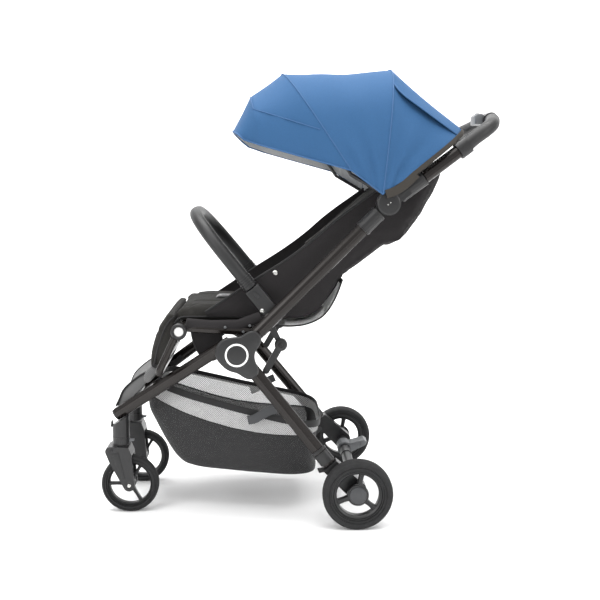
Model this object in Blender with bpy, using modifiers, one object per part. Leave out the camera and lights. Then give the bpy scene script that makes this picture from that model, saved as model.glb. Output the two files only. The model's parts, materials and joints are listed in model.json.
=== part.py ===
"""Cabin-size folding baby stroller with a sun canopy, basket and bumper bar.

The front of the stroller faces -X, its left side is -Y and +Z is up. Metres.
The origin is on the floor, under the middle of the stroller's box.
"""
import math

import bmesh
import bpy
from mathutils import Matrix, Vector

# ---------------------------------------------------------------- driving sizes
GAP = 0.0003

HUB = (-0.143, 0.373)
FOLD_DISC = (0.174, 0.687)
BACK_ANGLE = math.atan2(FOLD_DISC[1] - HUB[1], FOLD_DISC[0] - HUB[0])
BACK_LENGTH = math.hypot(FOLD_DISC[0] - HUB[0], FOLD_DISC[1] - HUB[1])
HANDLE_ANGLE = math.radians(36.4)
HANDLE_TUBE_END = 0.192

TUBE_TALL = 0.0295
TUBE_THIN = 0.020
SIDE_Y = 0.200

REAR_AXLE = (0.111, 0.075)
REAR_WHEEL_Y = 0.2355
REAR_TYRE = {"radius": 0.075, "rim": 0.0546, "width": 0.032}
REAR_RIM = {"opening": 0.0445, "hub": 0.0175, "width": 0.024}
REAR_LEG_TOP_Y = 0.1765
REAR_LEG_FOOT = (0.052, 0.131)
REAR_LEG_FOOT_Y = 0.1985

FRONT_AXLE = (-0.3865, 0.0635)
FRONT_WHEEL_Y = 0.107
FRONT_TYRE = {"radius": 0.0635, "rim": 0.0522, "width": 0.028}
FRONT_RIM = {"opening": 0.0450, "hub": 0.0135, "width": 0.018}
AXLE_RADIUS = 0.005
CASTER_X = -0.405
CASTER_RADIUS = 0.0187
CASTER_LEVELS = {"yoke_low": 0.1545, "groove": 0.1690}
SUSPENSION = (-0.427, 0.142)
FRONT_LEG_TOP = (-0.158, 0.3967)
FRONT_LEG_TOP_Y = 0.2026
FRONT_LEG_END = (-0.412, 0.2212)
FRONT_LEG_TALL = 0.0275
FRONT_LEG_THIN = 0.018

LINK_TOP = (-0.072, 0.425)
LINK_KNEE = (-0.050, 0.384)
LINK_LOW = (-0.082, 0.328)

BUMPER_FOOT = (-0.070, 0.4565)
BUMPER_CORNER = (-0.2365, 0.6625)
BUMPER_SOCKET_LENGTH = 0.067
BUMPER_Y = 0.1765
BUMPER_RADIUS = 0.0143
BUMPER_BEND = 0.150

SEAT_RAIL_Y = 0.178
LEG_REST_HINGE = (-0.265, 0.419)

# arches of the canopy: top point (x, z), side point (x, z), half width
CANOPY_ARCHES = {
    "edge": ((-0.152, 0.840), (-0.124, 0.817), 0.198),
    "visor": ((-0.114, 0.915), (-0.088, 0.805), 0.212),
    "mid": ((-0.046, 0.965), (0.094, 0.755), 0.222),
    "rear": ((0.190, 0.975), (0.178, 0.718), 0.222),
    "hem": ((0.347, 0.846), (0.230, 0.762), 0.222),
}
VISOR_PIVOT = (0.007, 0.853)
CANOPY_CLOTH = 0.0025
BOW_RADIUS = 0.004
BOW_INSET = 0.0085

SIDES = {"left": -1.0, "right": 1.0}


# ---------------------------------------------------------------- scene and materials
def clear_scene():
    for obj in list(bpy.data.objects):
        bpy.data.objects.remove(obj, do_unlink=True)


def new_collection(name):
    found = bpy.data.collections.new(name)
    bpy.context.scene.collection.children.link(found)
    return found


def linear(value):
    return value / 12.92 if value <= 0.04045 else ((value + 0.055) / 1.055) ** 2.4


def new_material(name, colour, roughness, metallic=0.0):
    mat = bpy.data.materials.new(name)
    mat.use_nodes = True
    shader = mat.node_tree.nodes["Principled BSDF"]
    parts = [int(colour[i:i + 2], 16) / 255 for i in (0, 2, 4)]
    shader.inputs["Base Color"].default_value = [linear(p) for p in parts] + [1.0]
    shader.inputs["Roughness"].default_value = roughness
    shader.inputs["Metallic"].default_value = metallic
    return mat


clear_scene()
PARTS = new_collection("baby_stroller")
CUTTERS = new_collection("cutters")
MATERIALS = {
    "tube": new_material("anodised_tube", "2B2826", 0.28, 0.7),
    "plastic": new_material("moulded_plastic", "434446", 0.5),
    "tyre": new_material("eva_tyre", "474748", 0.8),
    "rim": new_material("rim_plastic", "2A2A2A", 0.5),
    "seat": new_material("seat_fabric", "565450", 0.9),
    "side": new_material("side_fabric", "3F3D3E", 0.9),
    "canopy": new_material("canopy_fabric", "3E6E9E", 0.8),
    "mesh": new_material("basket_mesh", "3A3A3A", 0.9),
    "foot": new_material("foot_panel_mesh", "9A9A9A", 0.8),
    "grip": new_material("grip_foam", "333333", 0.7),
}


# ---------------------------------------------------------------- placing helpers
def new_pivot(name, x, z, y=0.0):
    """An empty on a joint's axis, which carries the pieces that turn about it."""
    empty = bpy.data.objects.new(name, None)
    empty.location = (x, y, z)
    PARTS.objects.link(empty)
    return empty


def add(name, data, key, location, turn=None, pivot=None):
    """Link an object at a world place, under the empty of its joint if it has one."""
    obj = bpy.data.objects.new(name, data)
    PARTS.objects.link(obj)
    obj.location = Vector(location)
    if turn is not None:
        obj.rotation_euler = turn.to_euler() if isinstance(turn, Matrix) else turn
    if pivot is not None:
        obj.parent = pivot
        obj.location = Vector(location) - pivot.location
    if key:
        data.materials.append(MATERIALS[key])
    return obj


def make_cutter(obj):
    PARTS.objects.unlink(obj)
    CUTTERS.objects.link(obj)
    obj.hide_render = True
    obj.display_type = "WIRE"
    return obj


def boolean(obj, cutter, operation):
    mod = obj.modifiers.new(operation.lower(), "BOOLEAN")
    mod.object = make_cutter(cutter)
    mod.operation = operation
    mod.solver = "EXACT"


def bevel(obj, width, segments=2):
    mod = obj.modifiers.new("rounded_edges", "BEVEL")
    mod.width = width
    mod.segments = segments
    mod.limit_method = "ANGLE"
    mod.angle_limit = math.radians(40)


def smooth(mesh):
    mesh.shade_smooth()
    mesh.set_sharp_from_angle(angle=math.radians(35))


def along(start, end):
    """The turn that lays local Z from start to end, with local Y nearest world Y."""
    z_axis = (Vector(end) - Vector(start)).normalized()
    y_axis = Vector((0, 0, 1)) if abs(z_axis.y) > 0.99 else Vector((0, 1, 0))
    y_axis = (y_axis - z_axis * y_axis.dot(z_axis)).normalized()
    x_axis = y_axis.cross(z_axis)
    return Matrix((x_axis, y_axis, z_axis)).transposed()


def at(origin, angle, distance):
    """The point (x, z) at a distance from another, at an angle up from +X."""
    return (origin[0] + distance * math.cos(angle), origin[1] + distance * math.sin(angle))


def mix(start, end, share):
    return tuple(a + (b - a) * share for a, b in zip(start, end))


# ---------------------------------------------------------------- shapes
def arc(centre, radius, start, end, steps):
    """Points on an arc in the XZ plane, angles in degrees."""
    turns = [math.radians(start + (end - start) * i / steps) for i in range(steps + 1)]
    return [(centre[0] + radius * math.cos(t), centre[1] + radius * math.sin(t)) for t in turns]


def circle(centre, radius, steps=24):
    return arc(centre, radius, 0, 360, steps)[:-1]


def plate(name, loops, y_low, y_high, key, pivot=None):
    """A flat outline in the XZ plane, with holes, that is thick along Y."""
    data = bpy.data.curves.new(name, "CURVE")
    data.dimensions = "2D"
    data.fill_mode = "BOTH"
    data.extrude = (y_high - y_low) / 2
    for loop in loops:
        spline = data.splines.new("POLY")
        spline.points.add(len(loop) - 1)
        for point, (x, z) in zip(spline.points, loop):
            point.co = (x, z, 0.0, 1.0)
        spline.use_cyclic_u = True
    middle = (0.0, (y_low + y_high) / 2, 0.0)
    return add(name, data, key, middle, (math.pi / 2, 0, 0), pivot)


def as_mesh(obj):
    """Turn a curve object into a welded mesh, in the same place."""
    graph = bpy.context.evaluated_depsgraph_get()
    mesh = bpy.data.meshes.new_from_object(obj.evaluated_get(graph))
    shape = bmesh.new()
    shape.from_mesh(mesh)
    bmesh.ops.remove_doubles(shape, verts=shape.verts, dist=0.00001)
    bmesh.ops.recalc_face_normals(shape, faces=shape.faces)
    shape.to_mesh(mesh)
    shape.free()
    name = obj.name
    solid = bpy.data.objects.new(name + "_solid", mesh)
    PARTS.objects.link(solid)
    solid.parent = obj.parent
    solid.location = obj.location
    solid.rotation_euler = obj.rotation_euler
    bpy.data.objects.remove(obj, do_unlink=True)
    solid.name = name
    return solid


def side_band(side, low, high):
    """The low and high Y of a band that runs from low to high on one side."""
    return sorted((side * low, side * high))


def bar(name, start, end, tall, thin, key, pivot=None, segments=16):
    """A straight tube of oval section from start to end."""
    length = (Vector(end) - Vector(start)).length
    shape = bmesh.new()
    bmesh.ops.create_cone(
        shape, cap_ends=True, segments=segments, radius1=0.5, radius2=0.5, depth=length
    )
    bmesh.ops.scale(shape, vec=(tall, thin, 1.0), verts=shape.verts)
    mesh = bpy.data.meshes.new(name)
    shape.to_mesh(mesh)
    shape.free()
    smooth(mesh)
    middle = (Vector(start) + Vector(end)) / 2
    return add(name, mesh, key, middle, along(start, end), pivot)


def block(name, start, end, tall, thin, key, pivot=None, rounding=0.003):
    """A straight bar of rectangular section with rounded edges."""
    shape = bmesh.new()
    bmesh.ops.create_cube(shape, size=1.0)
    length = (Vector(end) - Vector(start)).length
    bmesh.ops.scale(shape, vec=(tall, thin, length), verts=shape.verts)
    mesh = bpy.data.meshes.new(name)
    shape.to_mesh(mesh)
    shape.free()
    middle = (Vector(start) + Vector(end)) / 2
    obj = add(name, mesh, key, middle, along(start, end), pivot)
    bevel(obj, rounding)
    return obj


def tube(name, points, radius, key, pivot=None, sides=2):
    """A bent round tube through points, which are read from rounded corners."""
    data = bpy.data.curves.new(name, "CURVE")
    data.dimensions = "3D"
    data.bevel_depth = radius
    data.bevel_resolution = sides
    data.use_fill_caps = True
    spline = data.splines.new("POLY")
    spline.points.add(len(points) - 1)
    centre = Vector(points[0])
    for point, place in zip(spline.points, points):
        point.co = (*(Vector(place) - centre), 1.0)
    return add(name, data, key, centre, None, pivot)


def rounded(points, radius, steps=4):
    """A route with each inner corner replaced by an arc-like curve."""
    route = [Vector(points[0])]
    for before, here, after in zip(points, points[1:], points[2:]):
        here = Vector(here)
        into = (here - Vector(before)).normalized()
        out = (Vector(after) - here).normalized()
        first = here - into * radius
        last = here + out * radius
        for i in range(steps + 1):
            t = i / steps
            route.append(first * (1 - t) ** 2 + here * 2 * t * (1 - t) + last * t ** 2)
    route.append(Vector(points[-1]))
    return route


def turned(name, profile, y, key, centre, pivot=None, steps=40):
    """A ring or disc turned about an axis along Y: profile of (radius, height)."""
    mesh = bpy.data.meshes.new(name)
    count = len(profile)
    edges = [(i, (i + 1) % count) for i in range(count)]
    mesh.from_pydata([(r, 0.0, h) for r, h in profile], edges, [])
    obj = add(name, mesh, key, (centre[0], y, centre[1]), (math.pi / 2, 0, 0), pivot)
    mod = obj.modifiers.new("turn", "SCREW")
    mod.axis = "Z"
    mod.steps = steps
    mod.render_steps = steps
    mod.use_merge_vertices = True
    mod.merge_threshold = 0.00001
    mod.use_smooth_shade = True
    return obj


def upright(name, x, y, low, high, radius, key, pivot=None, segments=24):
    """A vertical round post."""
    shape = bmesh.new()
    bmesh.ops.create_cone(
        shape, cap_ends=True, segments=segments, radius1=radius, radius2=radius, depth=high - low
    )
    mesh = bpy.data.meshes.new(name)
    shape.to_mesh(mesh)
    shape.free()
    smooth(mesh)
    return add(name, mesh, key, (x, y, (low + high) / 2), None, pivot)


# ---------------------------------------------------------------- hub and back frame
def hub_outline():
    """The Y-shaped side housing: a disc with a lobe for each of the three tubes."""
    lobes = []
    for angle, reach, half in ((-51.8, 0.062, 13), (44.7, 0.066, 12), (160.0, 0.047, 26)):
        lobes += arc(HUB, reach, angle - half, angle + half, 3)
        lobes += arc(HUB, 0.0385, angle + half + 16, angle + half + 17, 1)
    return lobes


def make_hub(name, side):
    low, high = side_band(side, 0.2152, 0.2262)
    housing = as_mesh(plate("hub_housing_" + name, [hub_outline()], low, high, "plastic"))
    bevel(housing, 0.003)
    low, high = side_band(side, 0.1495, 0.1550)
    ear = [mix(HUB, LINK_TOP, 0.4), LINK_TOP]
    outline = arc(HUB, 0.017, 110, 325, 10) + arc(ear[1], 0.009, 325, 470, 6)
    carrier = as_mesh(plate("hub_plate_" + name, [outline], low, high, "plastic"))
    pin_low, pin_high = side * 0.1520, side * 0.2146
    pin = bar("hub_pin_" + name, (HUB[0], pin_low, HUB[1]), (HUB[0], pin_high, HUB[1]),
              0.013, 0.013, None)
    boolean(carrier, pin, "UNION")


def make_back_tube(name, side):
    y = side * SIDE_Y
    start = at(HUB, BACK_ANGLE, 0.050)
    end = at(HUB, BACK_ANGLE, BACK_LENGTH - 0.076 - GAP)
    bar("back_tube_" + name, (start[0], y, start[1]), (end[0], y, end[1]),
        TUBE_TALL, TUBE_THIN, "tube")


def fold_half(name, angle, reach, band, key, pivot=None):
    """One half of the handle's fold joint: a disc, its tongue and a sleeve."""
    low, high = band
    tongue = math.degrees(angle)
    outline = arc(FOLD_DISC, 0.025, tongue + 30, tongue + 330, 20)
    outline += [at(at(FOLD_DISC, angle, 0.050), angle - math.pi / 2, 0.011),
                at(at(FOLD_DISC, angle, 0.050), angle + math.pi / 2, 0.011)]
    disc = as_mesh(plate(name, [outline], low, high, key, pivot))
    start = at(FOLD_DISC, angle, 0.0275)
    end = at(FOLD_DISC, angle, reach)
    y = math.copysign(SIDE_Y, low)
    sleeve = bar(name + "_sleeve", (start[0], y, start[1]), (end[0], y, end[1]),
                 0.034, 0.0262, None, None)
    boolean(disc, sleeve, "UNION")
    return disc


def make_seat_frame():
    y = SEAT_RAIL_Y
    route = [(-0.112, -y, 0.4165), (-0.258, -y, 0.4250), (-0.258, y, 0.4250), (-0.112, y, 0.4165)]
    tube("seat_frame", rounded(route, 0.030), 0.010, "side")


# ---------------------------------------------------------------- legs
def make_rear_leg(name, side, pivot):
    top = Vector((HUB[0], side * REAR_LEG_TOP_Y, HUB[1]))
    end = Vector((REAR_LEG_FOOT[0], side * REAR_LEG_FOOT_Y, REAR_LEG_FOOT[1]))
    start = top + (end - top).normalized() * 0.016
    leg = bar("rear_leg_" + name, start, end, TUBE_TALL, TUBE_THIN, "tube", pivot)
    low, high = side_band(side, 0.1670, 0.1860)
    eye = plate("rear_leg_eye_" + name, [circle(HUB, 0.024)], low, high, None)
    boolean(leg, as_mesh(eye), "UNION")
    bore = bar("rear_leg_bore_" + name, (HUB[0], side * 0.14, HUB[1]),
               (HUB[0], side * 0.21, HUB[1]), 0.0145, 0.0145, None)
    boolean(leg, bore, "DIFFERENCE")


def make_rear_foot(name, side, pivot):
    leg_angle = math.atan2(REAR_LEG_FOOT[1] - HUB[1], REAR_LEG_FOOT[0] - HUB[0])
    shoulder = at(REAR_LEG_FOOT, leg_angle, 0.0020)
    outline = [at(shoulder, leg_angle - math.pi / 2, 0.018),
               at(shoulder, leg_angle + math.pi / 2, 0.018)]
    outline += arc(REAR_AXLE, 0.0215, 35, -145, 12)
    low, high = side_band(side, 0.1868, 0.2150)
    foot = as_mesh(plate("rear_foot_" + name, [outline], low, high, "plastic", pivot))
    bevel(foot, 0.003)
    stub = bar("rear_stub_" + name, (REAR_AXLE[0], side * 0.195, REAR_AXLE[1]),
               (REAR_AXLE[0], side * 0.2500, REAR_AXLE[1]), 2 * AXLE_RADIUS, 2 * AXLE_RADIUS, None)
    boolean(foot, stub, "UNION")


def make_rear_axle(pivot):
    reach = 0.1868 - GAP
    bar("rear_axle_bar", (REAR_AXLE[0], -reach, REAR_AXLE[1]), (REAR_AXLE[0], reach, REAR_AXLE[1]),
        0.024, 0.024, "plastic", pivot)


def make_brake_pedal(pivot):
    tip = (REAR_AXLE[0] + 0.046, REAR_AXLE[1] + 0.014)
    outline = arc(REAR_AXLE, 0.0175, 45, 330, 16) + arc(tip, 0.0075, -75, 105, 6)
    bore = circle(REAR_AXLE, 0.0125)
    pedal = as_mesh(plate("brake_pedal", [outline, bore], 0.105, 0.145, "plastic", pivot))
    bevel(pedal, 0.001, 1)


def front_leg_axis(x):
    """Height and Y of the front leg's centre line at x."""
    share = (x - FRONT_LEG_TOP[0]) / (FRONT_LEG_END[0] - FRONT_LEG_TOP[0])
    height = FRONT_LEG_TOP[1] + (FRONT_LEG_END[1] - FRONT_LEG_TOP[1]) * share
    to_caster = (CASTER_X - FRONT_LEG_TOP[0]) / (FRONT_LEG_END[0] - FRONT_LEG_TOP[0])
    return height, FRONT_LEG_TOP_Y + (FRONT_WHEEL_Y - FRONT_LEG_TOP_Y) * share / to_caster


def make_front_leg(name, side, pivot):
    height, y = front_leg_axis(FRONT_LEG_TOP[0])
    top = (FRONT_LEG_TOP[0], side * y, height)
    height, y = front_leg_axis(FRONT_LEG_END[0])
    end = (FRONT_LEG_END[0], side * y, height)
    leg = bar("front_leg_" + name, top, end, FRONT_LEG_TALL, FRONT_LEG_THIN, "tube", pivot)
    low, high = side_band(side, 0.1900, 0.2100)
    eye = plate("front_leg_eye_" + name, [circle(HUB, 0.030)], low, high, None)
    boolean(leg, as_mesh(eye), "UNION")
    bore = bar("front_leg_bore_" + name, (HUB[0], side * 0.17, HUB[1]),
               (HUB[0], side * 0.23, HUB[1]), 0.0145, 0.0145, None)
    boolean(leg, bore, "DIFFERENCE")


def make_caster_housing(name, side, pivot):
    """A vertical post whose top is cut to the slope of the front leg."""
    low = CASTER_LEVELS["groove"] + GAP
    y = side * FRONT_WHEEL_Y
    post = upright("caster_housing_" + name, CASTER_X, y, low, low + 0.04, CASTER_RADIUS,
                   "plastic", pivot)
    slope = (FRONT_LEG_TOP[1] - FRONT_LEG_END[1]) / (FRONT_LEG_TOP[0] - FRONT_LEG_END[0])
    under = FRONT_LEG_TALL / 2 / math.cos(math.atan(slope)) + GAP
    base = front_leg_axis(CASTER_X)[0] - under
    for vert in post.data.vertices:
        if vert.co.z > 0:
            vert.co.z = base + slope * vert.co.x - (low + 0.02)
    boolean_gap(post, name, side)


def boolean_gap(post, name, side):
    """Trim the post round the sides of the leg, which is narrower than the post."""
    start = front_leg_axis(-0.30)
    end = front_leg_axis(-0.47)
    tool = bar("leg_tool_" + name, (-0.30, side * start[1], start[0]),
               (-0.47, side * end[1], end[0]), FRONT_LEG_TALL + 4 * GAP, FRONT_LEG_THIN + 4 * GAP, None)
    boolean(post, tool, "DIFFERENCE")


def make_caster(name, side, pivots):
    y = side * FRONT_WHEEL_Y
    upright("caster_yoke_" + name, CASTER_X, y, CASTER_LEVELS["yoke_low"], CASTER_LEVELS["groove"],
            CASTER_RADIUS, "plastic", pivots["swivel"])
    outline = arc(SUSPENSION, 0.0105, 95, 200, 6)
    outline += [(-0.4290, 0.1180)]
    outline += arc(FRONT_AXLE, 0.0125, 200, 350, 10)
    outline += [(-0.3800, 0.1350), (-0.3860, 0.1500)]
    fork = as_mesh(plate("caster_fork_" + name, [outline], y - 0.0255, y + 0.0255, "plastic",
                         pivots["fork"]))
    clear = FRONT_TYRE["radius"] + 0.003
    half = 0.0185
    profile = [(clear, half), (clear, -half), (AXLE_RADIUS, -half), (AXLE_RADIUS, half)]
    room = turned("wheel_room_" + name, profile, y, None, FRONT_AXLE)
    boolean(fork, room, "DIFFERENCE")


def make_front_cross(pivot):
    x = -0.385
    height, y = front_leg_axis(x)
    reach = y - FRONT_LEG_THIN / 2 - 0.007
    bar("front_crossbar", (x, -reach, height), (x, reach, height), 0.016, 0.016, "plastic", pivot)
    outline = [(-0.352, 0.3010), (-0.356, 0.3120), (-0.366, 0.3040), (-0.385, 0.2890),
               (-0.401, 0.2730), (-0.411, 0.2480), (-0.419, 0.2380), (-0.413, 0.2330),
               (-0.403, 0.2450), (-0.394, 0.2660), (-0.380, 0.2810), (-0.364, 0.2930)]
    plate("foot_panel", [outline], -0.094, 0.094, "foot", pivot)


# ---------------------------------------------------------------- wheels
def make_tyre(name, size, centre, y, pivot):
    outer, inner, half = size["radius"], size["rim"], size["width"] / 2
    crown = half * 0.55
    profile = [(inner, half * 0.8), (outer - 0.006, half), (outer, crown), (outer, -crown),
               (outer - 0.006, -half), (inner, -half * 0.8)]
    return turned(name, profile, y, "tyre", centre, pivot)


def make_rim(name, tyre, rim, centre, y, pivot):
    """A three-spoke rim: a disc with a bore and three rounded windows."""
    loops = [circle(centre, tyre["rim"] - GAP, 40), circle(centre, AXLE_RADIUS + 0.0004, 16)]
    for turn in (30, 150, 270):
        outer = arc(centre, rim["opening"], turn - 50, turn + 50, 10)
        inner = arc(centre, rim["hub"], turn + 36, turn - 36, 4)
        loops.append(outer + inner)
    half = rim["width"] / 2
    plate(name, loops, y - half, y + half, "rim", pivot)


# ---------------------------------------------------------------- fold links
def make_links(name, side, pivots):
    low, high = side_band(side, 0.1556, 0.1604)
    knee = math.degrees(math.atan2(LINK_KNEE[1] - LINK_TOP[1], LINK_KNEE[0] - LINK_TOP[0]))
    outline = arc(LINK_KNEE, 0.0140, knee - 155, knee + 155, 18)
    outline += arc(LINK_TOP, 0.0075, knee + 100, knee + 260, 6)
    plate("upper_link_" + name, [outline], low, high, "plastic", pivots["upper"])
    low, high = side_band(side, 0.1610, 0.1656)
    foot = math.degrees(math.atan2(LINK_LOW[1] - LINK_KNEE[1], LINK_LOW[0] - LINK_KNEE[0]))
    outline = arc(LINK_LOW, 0.0075, foot - 80, foot + 80, 6)
    outline += arc(LINK_KNEE, 0.0100, foot + 130, foot + 230, 8)
    plate("lower_link_" + name, [outline], low, high, "plastic", pivots["lower"])


# ---------------------------------------------------------------- handle
def make_handle(pivot, button_pivot):
    for name, side in SIDES.items():
        band = side_band(side, 0.2006, 0.2128)
        fold_half("upper_sleeve_" + name, HANDLE_ANGLE, 0.0900, band, "plastic", pivot)
        start = at(FOLD_DISC, HANDLE_ANGLE, 0.0912)
        end = at(FOLD_DISC, HANDLE_ANGLE, HANDLE_TUBE_END)
        bar("handle_tube_" + name, (start[0], side * SIDE_Y, start[1]),
            (end[0], side * 0.192, end[1]), 0.0280, 0.0240, "tube", pivot)
    corner = at(FOLD_DISC, HANDLE_ANGLE, HANDLE_TUBE_END + 0.0035)
    half = [(corner[0], 0.192, corner[1]), (0.370, 0.186, 0.833), (0.405, 0.120, 0.857)]
    route = [(x, -y, z) for x, y, z in half] + [(x, y, z) for x, y, z in reversed(half)]
    route.insert(3, (0.434, 0.0, 0.873))
    tube("handle_grip", rounded(route, 0.028, 3), 0.0158, "grip", pivot, 3)
    block("fold_button", (0.3885, 0.0, 0.8710), (0.4075, 0.0, 0.8730), 0.024, 0.056, "plastic",
          button_pivot)


# ---------------------------------------------------------------- bumper bar
def bumper_point(distance):
    angle = math.atan2(BUMPER_CORNER[1] - BUMPER_FOOT[1], BUMPER_CORNER[0] - BUMPER_FOOT[0])
    return at(BUMPER_FOOT, angle, distance)


def make_bumper(pivot):
    for name, side in SIDES.items():
        top = bumper_point(BUMPER_SOCKET_LENGTH)
        block("bumper_socket_" + name, (BUMPER_FOOT[0], side * BUMPER_Y, BUMPER_FOOT[1]),
              (top[0], side * BUMPER_Y, top[1]), 0.034, 0.0208, "plastic")
    start = bumper_point(BUMPER_SOCKET_LENGTH + GAP)
    corner = BUMPER_CORNER
    route = [(start[0], -BUMPER_Y, start[1]), (corner[0], -BUMPER_Y, corner[1]),
             (corner[0], BUMPER_Y, corner[1]), (start[0], BUMPER_Y, start[1])]
    tube("bumper_bar", rounded(route, BUMPER_BEND, 6), BUMPER_RADIUS, "grip", pivot, 3)


# ---------------------------------------------------------------- seat and leg rest
def make_seat():
    outline = [(-0.268, 0.4365), (-0.2725, 0.4500), (-0.262, 0.4570), (-0.228, 0.4605),
               (-0.180, 0.4610), (-0.104, 0.4590), (-0.096, 0.4365)]
    plate("seat_pad", [outline], -0.150, 0.150, "seat")
    for name, side in SIDES.items():
        low, high = side_band(side, 0.1512, 0.1610)
        wing = [(-0.212, 0.455), (-0.154, 0.493), (-0.107, 0.524), (-0.051, 0.559),
                (-0.009, 0.588), (0.040, 0.622), (0.087, 0.653), (0.114, 0.663),
                (0.120, 0.648), (-0.080, 0.446), (-0.208, 0.446)]
        plate("side_panel_" + name, [wing], low, high, "side")


def make_backrest(pivot):
    outline = [(-0.0935, 0.4560), (-0.088, 0.500), (0.050, 0.625), (0.150, 0.716),
               (0.265, 0.790), (0.305, 0.788), (0.300, 0.755), (0.255, 0.665),
               (0.205, 0.585), (0.165, 0.580), (0.120, 0.552), (0.090, 0.530),
               (0.067, 0.478), (0.038, 0.442), (-0.010, 0.4235), (-0.062, 0.4235)]
    plate("backrest", [outline], -0.148, 0.148, "seat", pivot)


def make_leg_rest(pivot):
    y = 0.1975
    hinge = LEG_REST_HINGE
    foot = (-0.304, 0.338)
    route = [(foot[0] - 0.004, -y, foot[1] - 0.009), (foot[0] - 0.004, y, foot[1] - 0.009)]
    lean = math.atan2(foot[1] - hinge[1], foot[0] - hinge[0])
    start = at(hinge, lean, 0.0150)
    path = [(start[0], -y, start[1]), route[0], route[1], (start[0], y, start[1])]
    frame = as_mesh(tube("leg_rest_frame", rounded(path, 0.022, 3), 0.0080, "plastic", pivot))
    for name, side in SIDES.items():
        low, high = side_band(side, 0.1900, 0.2050)
        eye = plate("leg_rest_eye_" + name, [circle(hinge, 0.0170), circle(hinge, 0.0105, 16)],
                    low, high, None)
        boolean(frame, as_mesh(eye), "UNION")
    outline = [(-0.2745, 0.4370), (-0.2790, 0.4520), (-0.2900, 0.4510), (-0.3080, 0.4170),
               (-0.3210, 0.3720), (-0.3260, 0.3480), (-0.3460, 0.3220), (-0.3340, 0.3070),
               (-0.3160, 0.3340), (-0.3020, 0.3620), (-0.2860, 0.4080)]
    plate("leg_rest_pad", [outline], -0.155, 0.155, "seat", pivot)


# ---------------------------------------------------------------- basket
def make_basket(pivot):
    """An open tub: a loft from the floor of the basket to its rim, then given a wall."""
    levels = [
        ((-0.272, 0.099), (0.030, 0.081), 0.106, 0.142),
        ((-0.317, 0.160), (0.022, 0.130), 0.114, 0.150),
        ((-0.349, 0.224), (0.030, 0.165), 0.116, 0.154),
        ((-0.322, 0.284), (0.040, 0.196), 0.117, 0.158),
    ]
    shape = bmesh.new()
    rings = []
    for front, rear, front_y, rear_y in levels:
        corners = [(front[0], -front_y, front[1]), (rear[0], -rear_y, rear[1]),
                   (rear[0], rear_y, rear[1]), (front[0], front_y, front[1])]
        ring = []
        for here, after in zip(corners, corners[1:] + corners[:1]):
            for share in (0.06, 0.5, 0.94):
                ring.append(shape.verts.new(mix(here, after, share)))
        rings.append(ring)
    shape.faces.new(list(reversed(rings[0])))
    for low, high in zip(rings, rings[1:]):
        count = len(low)
        for i in range(count):
            j = (i + 1) % count
            shape.faces.new((low[i], low[j], high[j], high[i]))
    mesh = bpy.data.meshes.new("basket")
    shape.to_mesh(mesh)
    shape.free()
    basket = add("basket", mesh, "mesh", (0, 0, 0), None, pivot)
    wall = basket.modifiers.new("wall", "SOLIDIFY")
    wall.thickness = 0.004
    wall.offset = -1.0
    wall.use_even_offset = True


# ---------------------------------------------------------------- canopy
def arch(top, side, half_width, count=16, inset=0.0, back=0.0):
    """Points across an arch, from its left foot over the top to its right foot."""
    points = []
    for i in range(count + 1):
        turn = math.pi * i / count
        across = -math.copysign(abs(math.cos(turn)) ** 0.62, math.cos(turn))
        rise = math.sin(turn) ** 0.62 if 0 < i < count else 0.0
        x = side[0] + (top[0] - side[0]) * rise + back
        z = side[1] + (top[1] - side[1]) * rise - inset
        points.append(Vector((x, (half_width - inset) * across, z)))
    return points


def make_cloth(name, keys, trims, pivot=None):
    """A shell of cloth over two or more arches, trimmed a little at its ends."""
    rows = [arch(*CANOPY_ARCHES[key]) for key in keys]
    rows[0] = [a.lerp(b, trims[0]) for a, b in zip(rows[0], rows[1])]
    rows[-1] = [b.lerp(a, trims[1]) for a, b in zip(rows[-2], rows[-1])]
    shape = bmesh.new()
    grid = [[shape.verts.new(point) for point in row] for row in rows]
    for here, after in zip(grid, grid[1:]):
        for i in range(len(here) - 1):
            shape.faces.new((here[i], after[i], after[i + 1], here[i + 1]))
    bmesh.ops.recalc_face_normals(shape, faces=shape.faces)
    mesh = bpy.data.meshes.new(name)
    shape.to_mesh(mesh)
    shape.free()
    cloth = add(name, mesh, "canopy", (0, 0, 0), None, pivot)
    wall = cloth.modifiers.new("cloth", "SOLIDIFY")
    wall.thickness = CANOPY_CLOTH
    wall.offset = 0.0
    wall.use_even_offset = True
    return cloth


def make_bow(name, key, foot, pivot=None, back=0.0):
    """A wire bow that runs up inside the cloth from its pivots on both sides."""
    top, side, half_width = CANOPY_ARCHES[key]
    curve = arch(top, side, half_width, 20, BOW_INSET, back)
    route = [point for point in curve if point.z > foot[1] + 0.012]
    foot_y = route[-1].y + 0.002
    route = [Vector((foot[0], -foot_y, foot[1]))] + route + [Vector((foot[0], foot_y, foot[1]))]
    return tube(name, route, BOW_RADIUS, "plastic", pivot)


def make_canopy(pivots):
    make_cloth("canopy_visor", ("edge", "visor", "mid"), (0.0, 0.012), pivots["front"])
    make_cloth("canopy_top", ("mid", "rear"), (0.006, 0.006), pivots["mid"])
    make_cloth("canopy_rear", ("rear", "hem"), (0.008, 0.0))
    foot = FOLD_DISC
    for name, key, pivot in (("canopy_bow_mid", "mid", pivots["mid"]),
                             ("canopy_bow_rear", "rear", None)):
        top = CANOPY_ARCHES[key][0]
        angle = math.atan2(top[1] - foot[1], top[0] - foot[0])
        make_bow(name, key, at(foot, angle, 0.031), pivot)
    make_bow("canopy_bow_front", "visor", VISOR_PIVOT, pivots["front"], 0.008)


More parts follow.
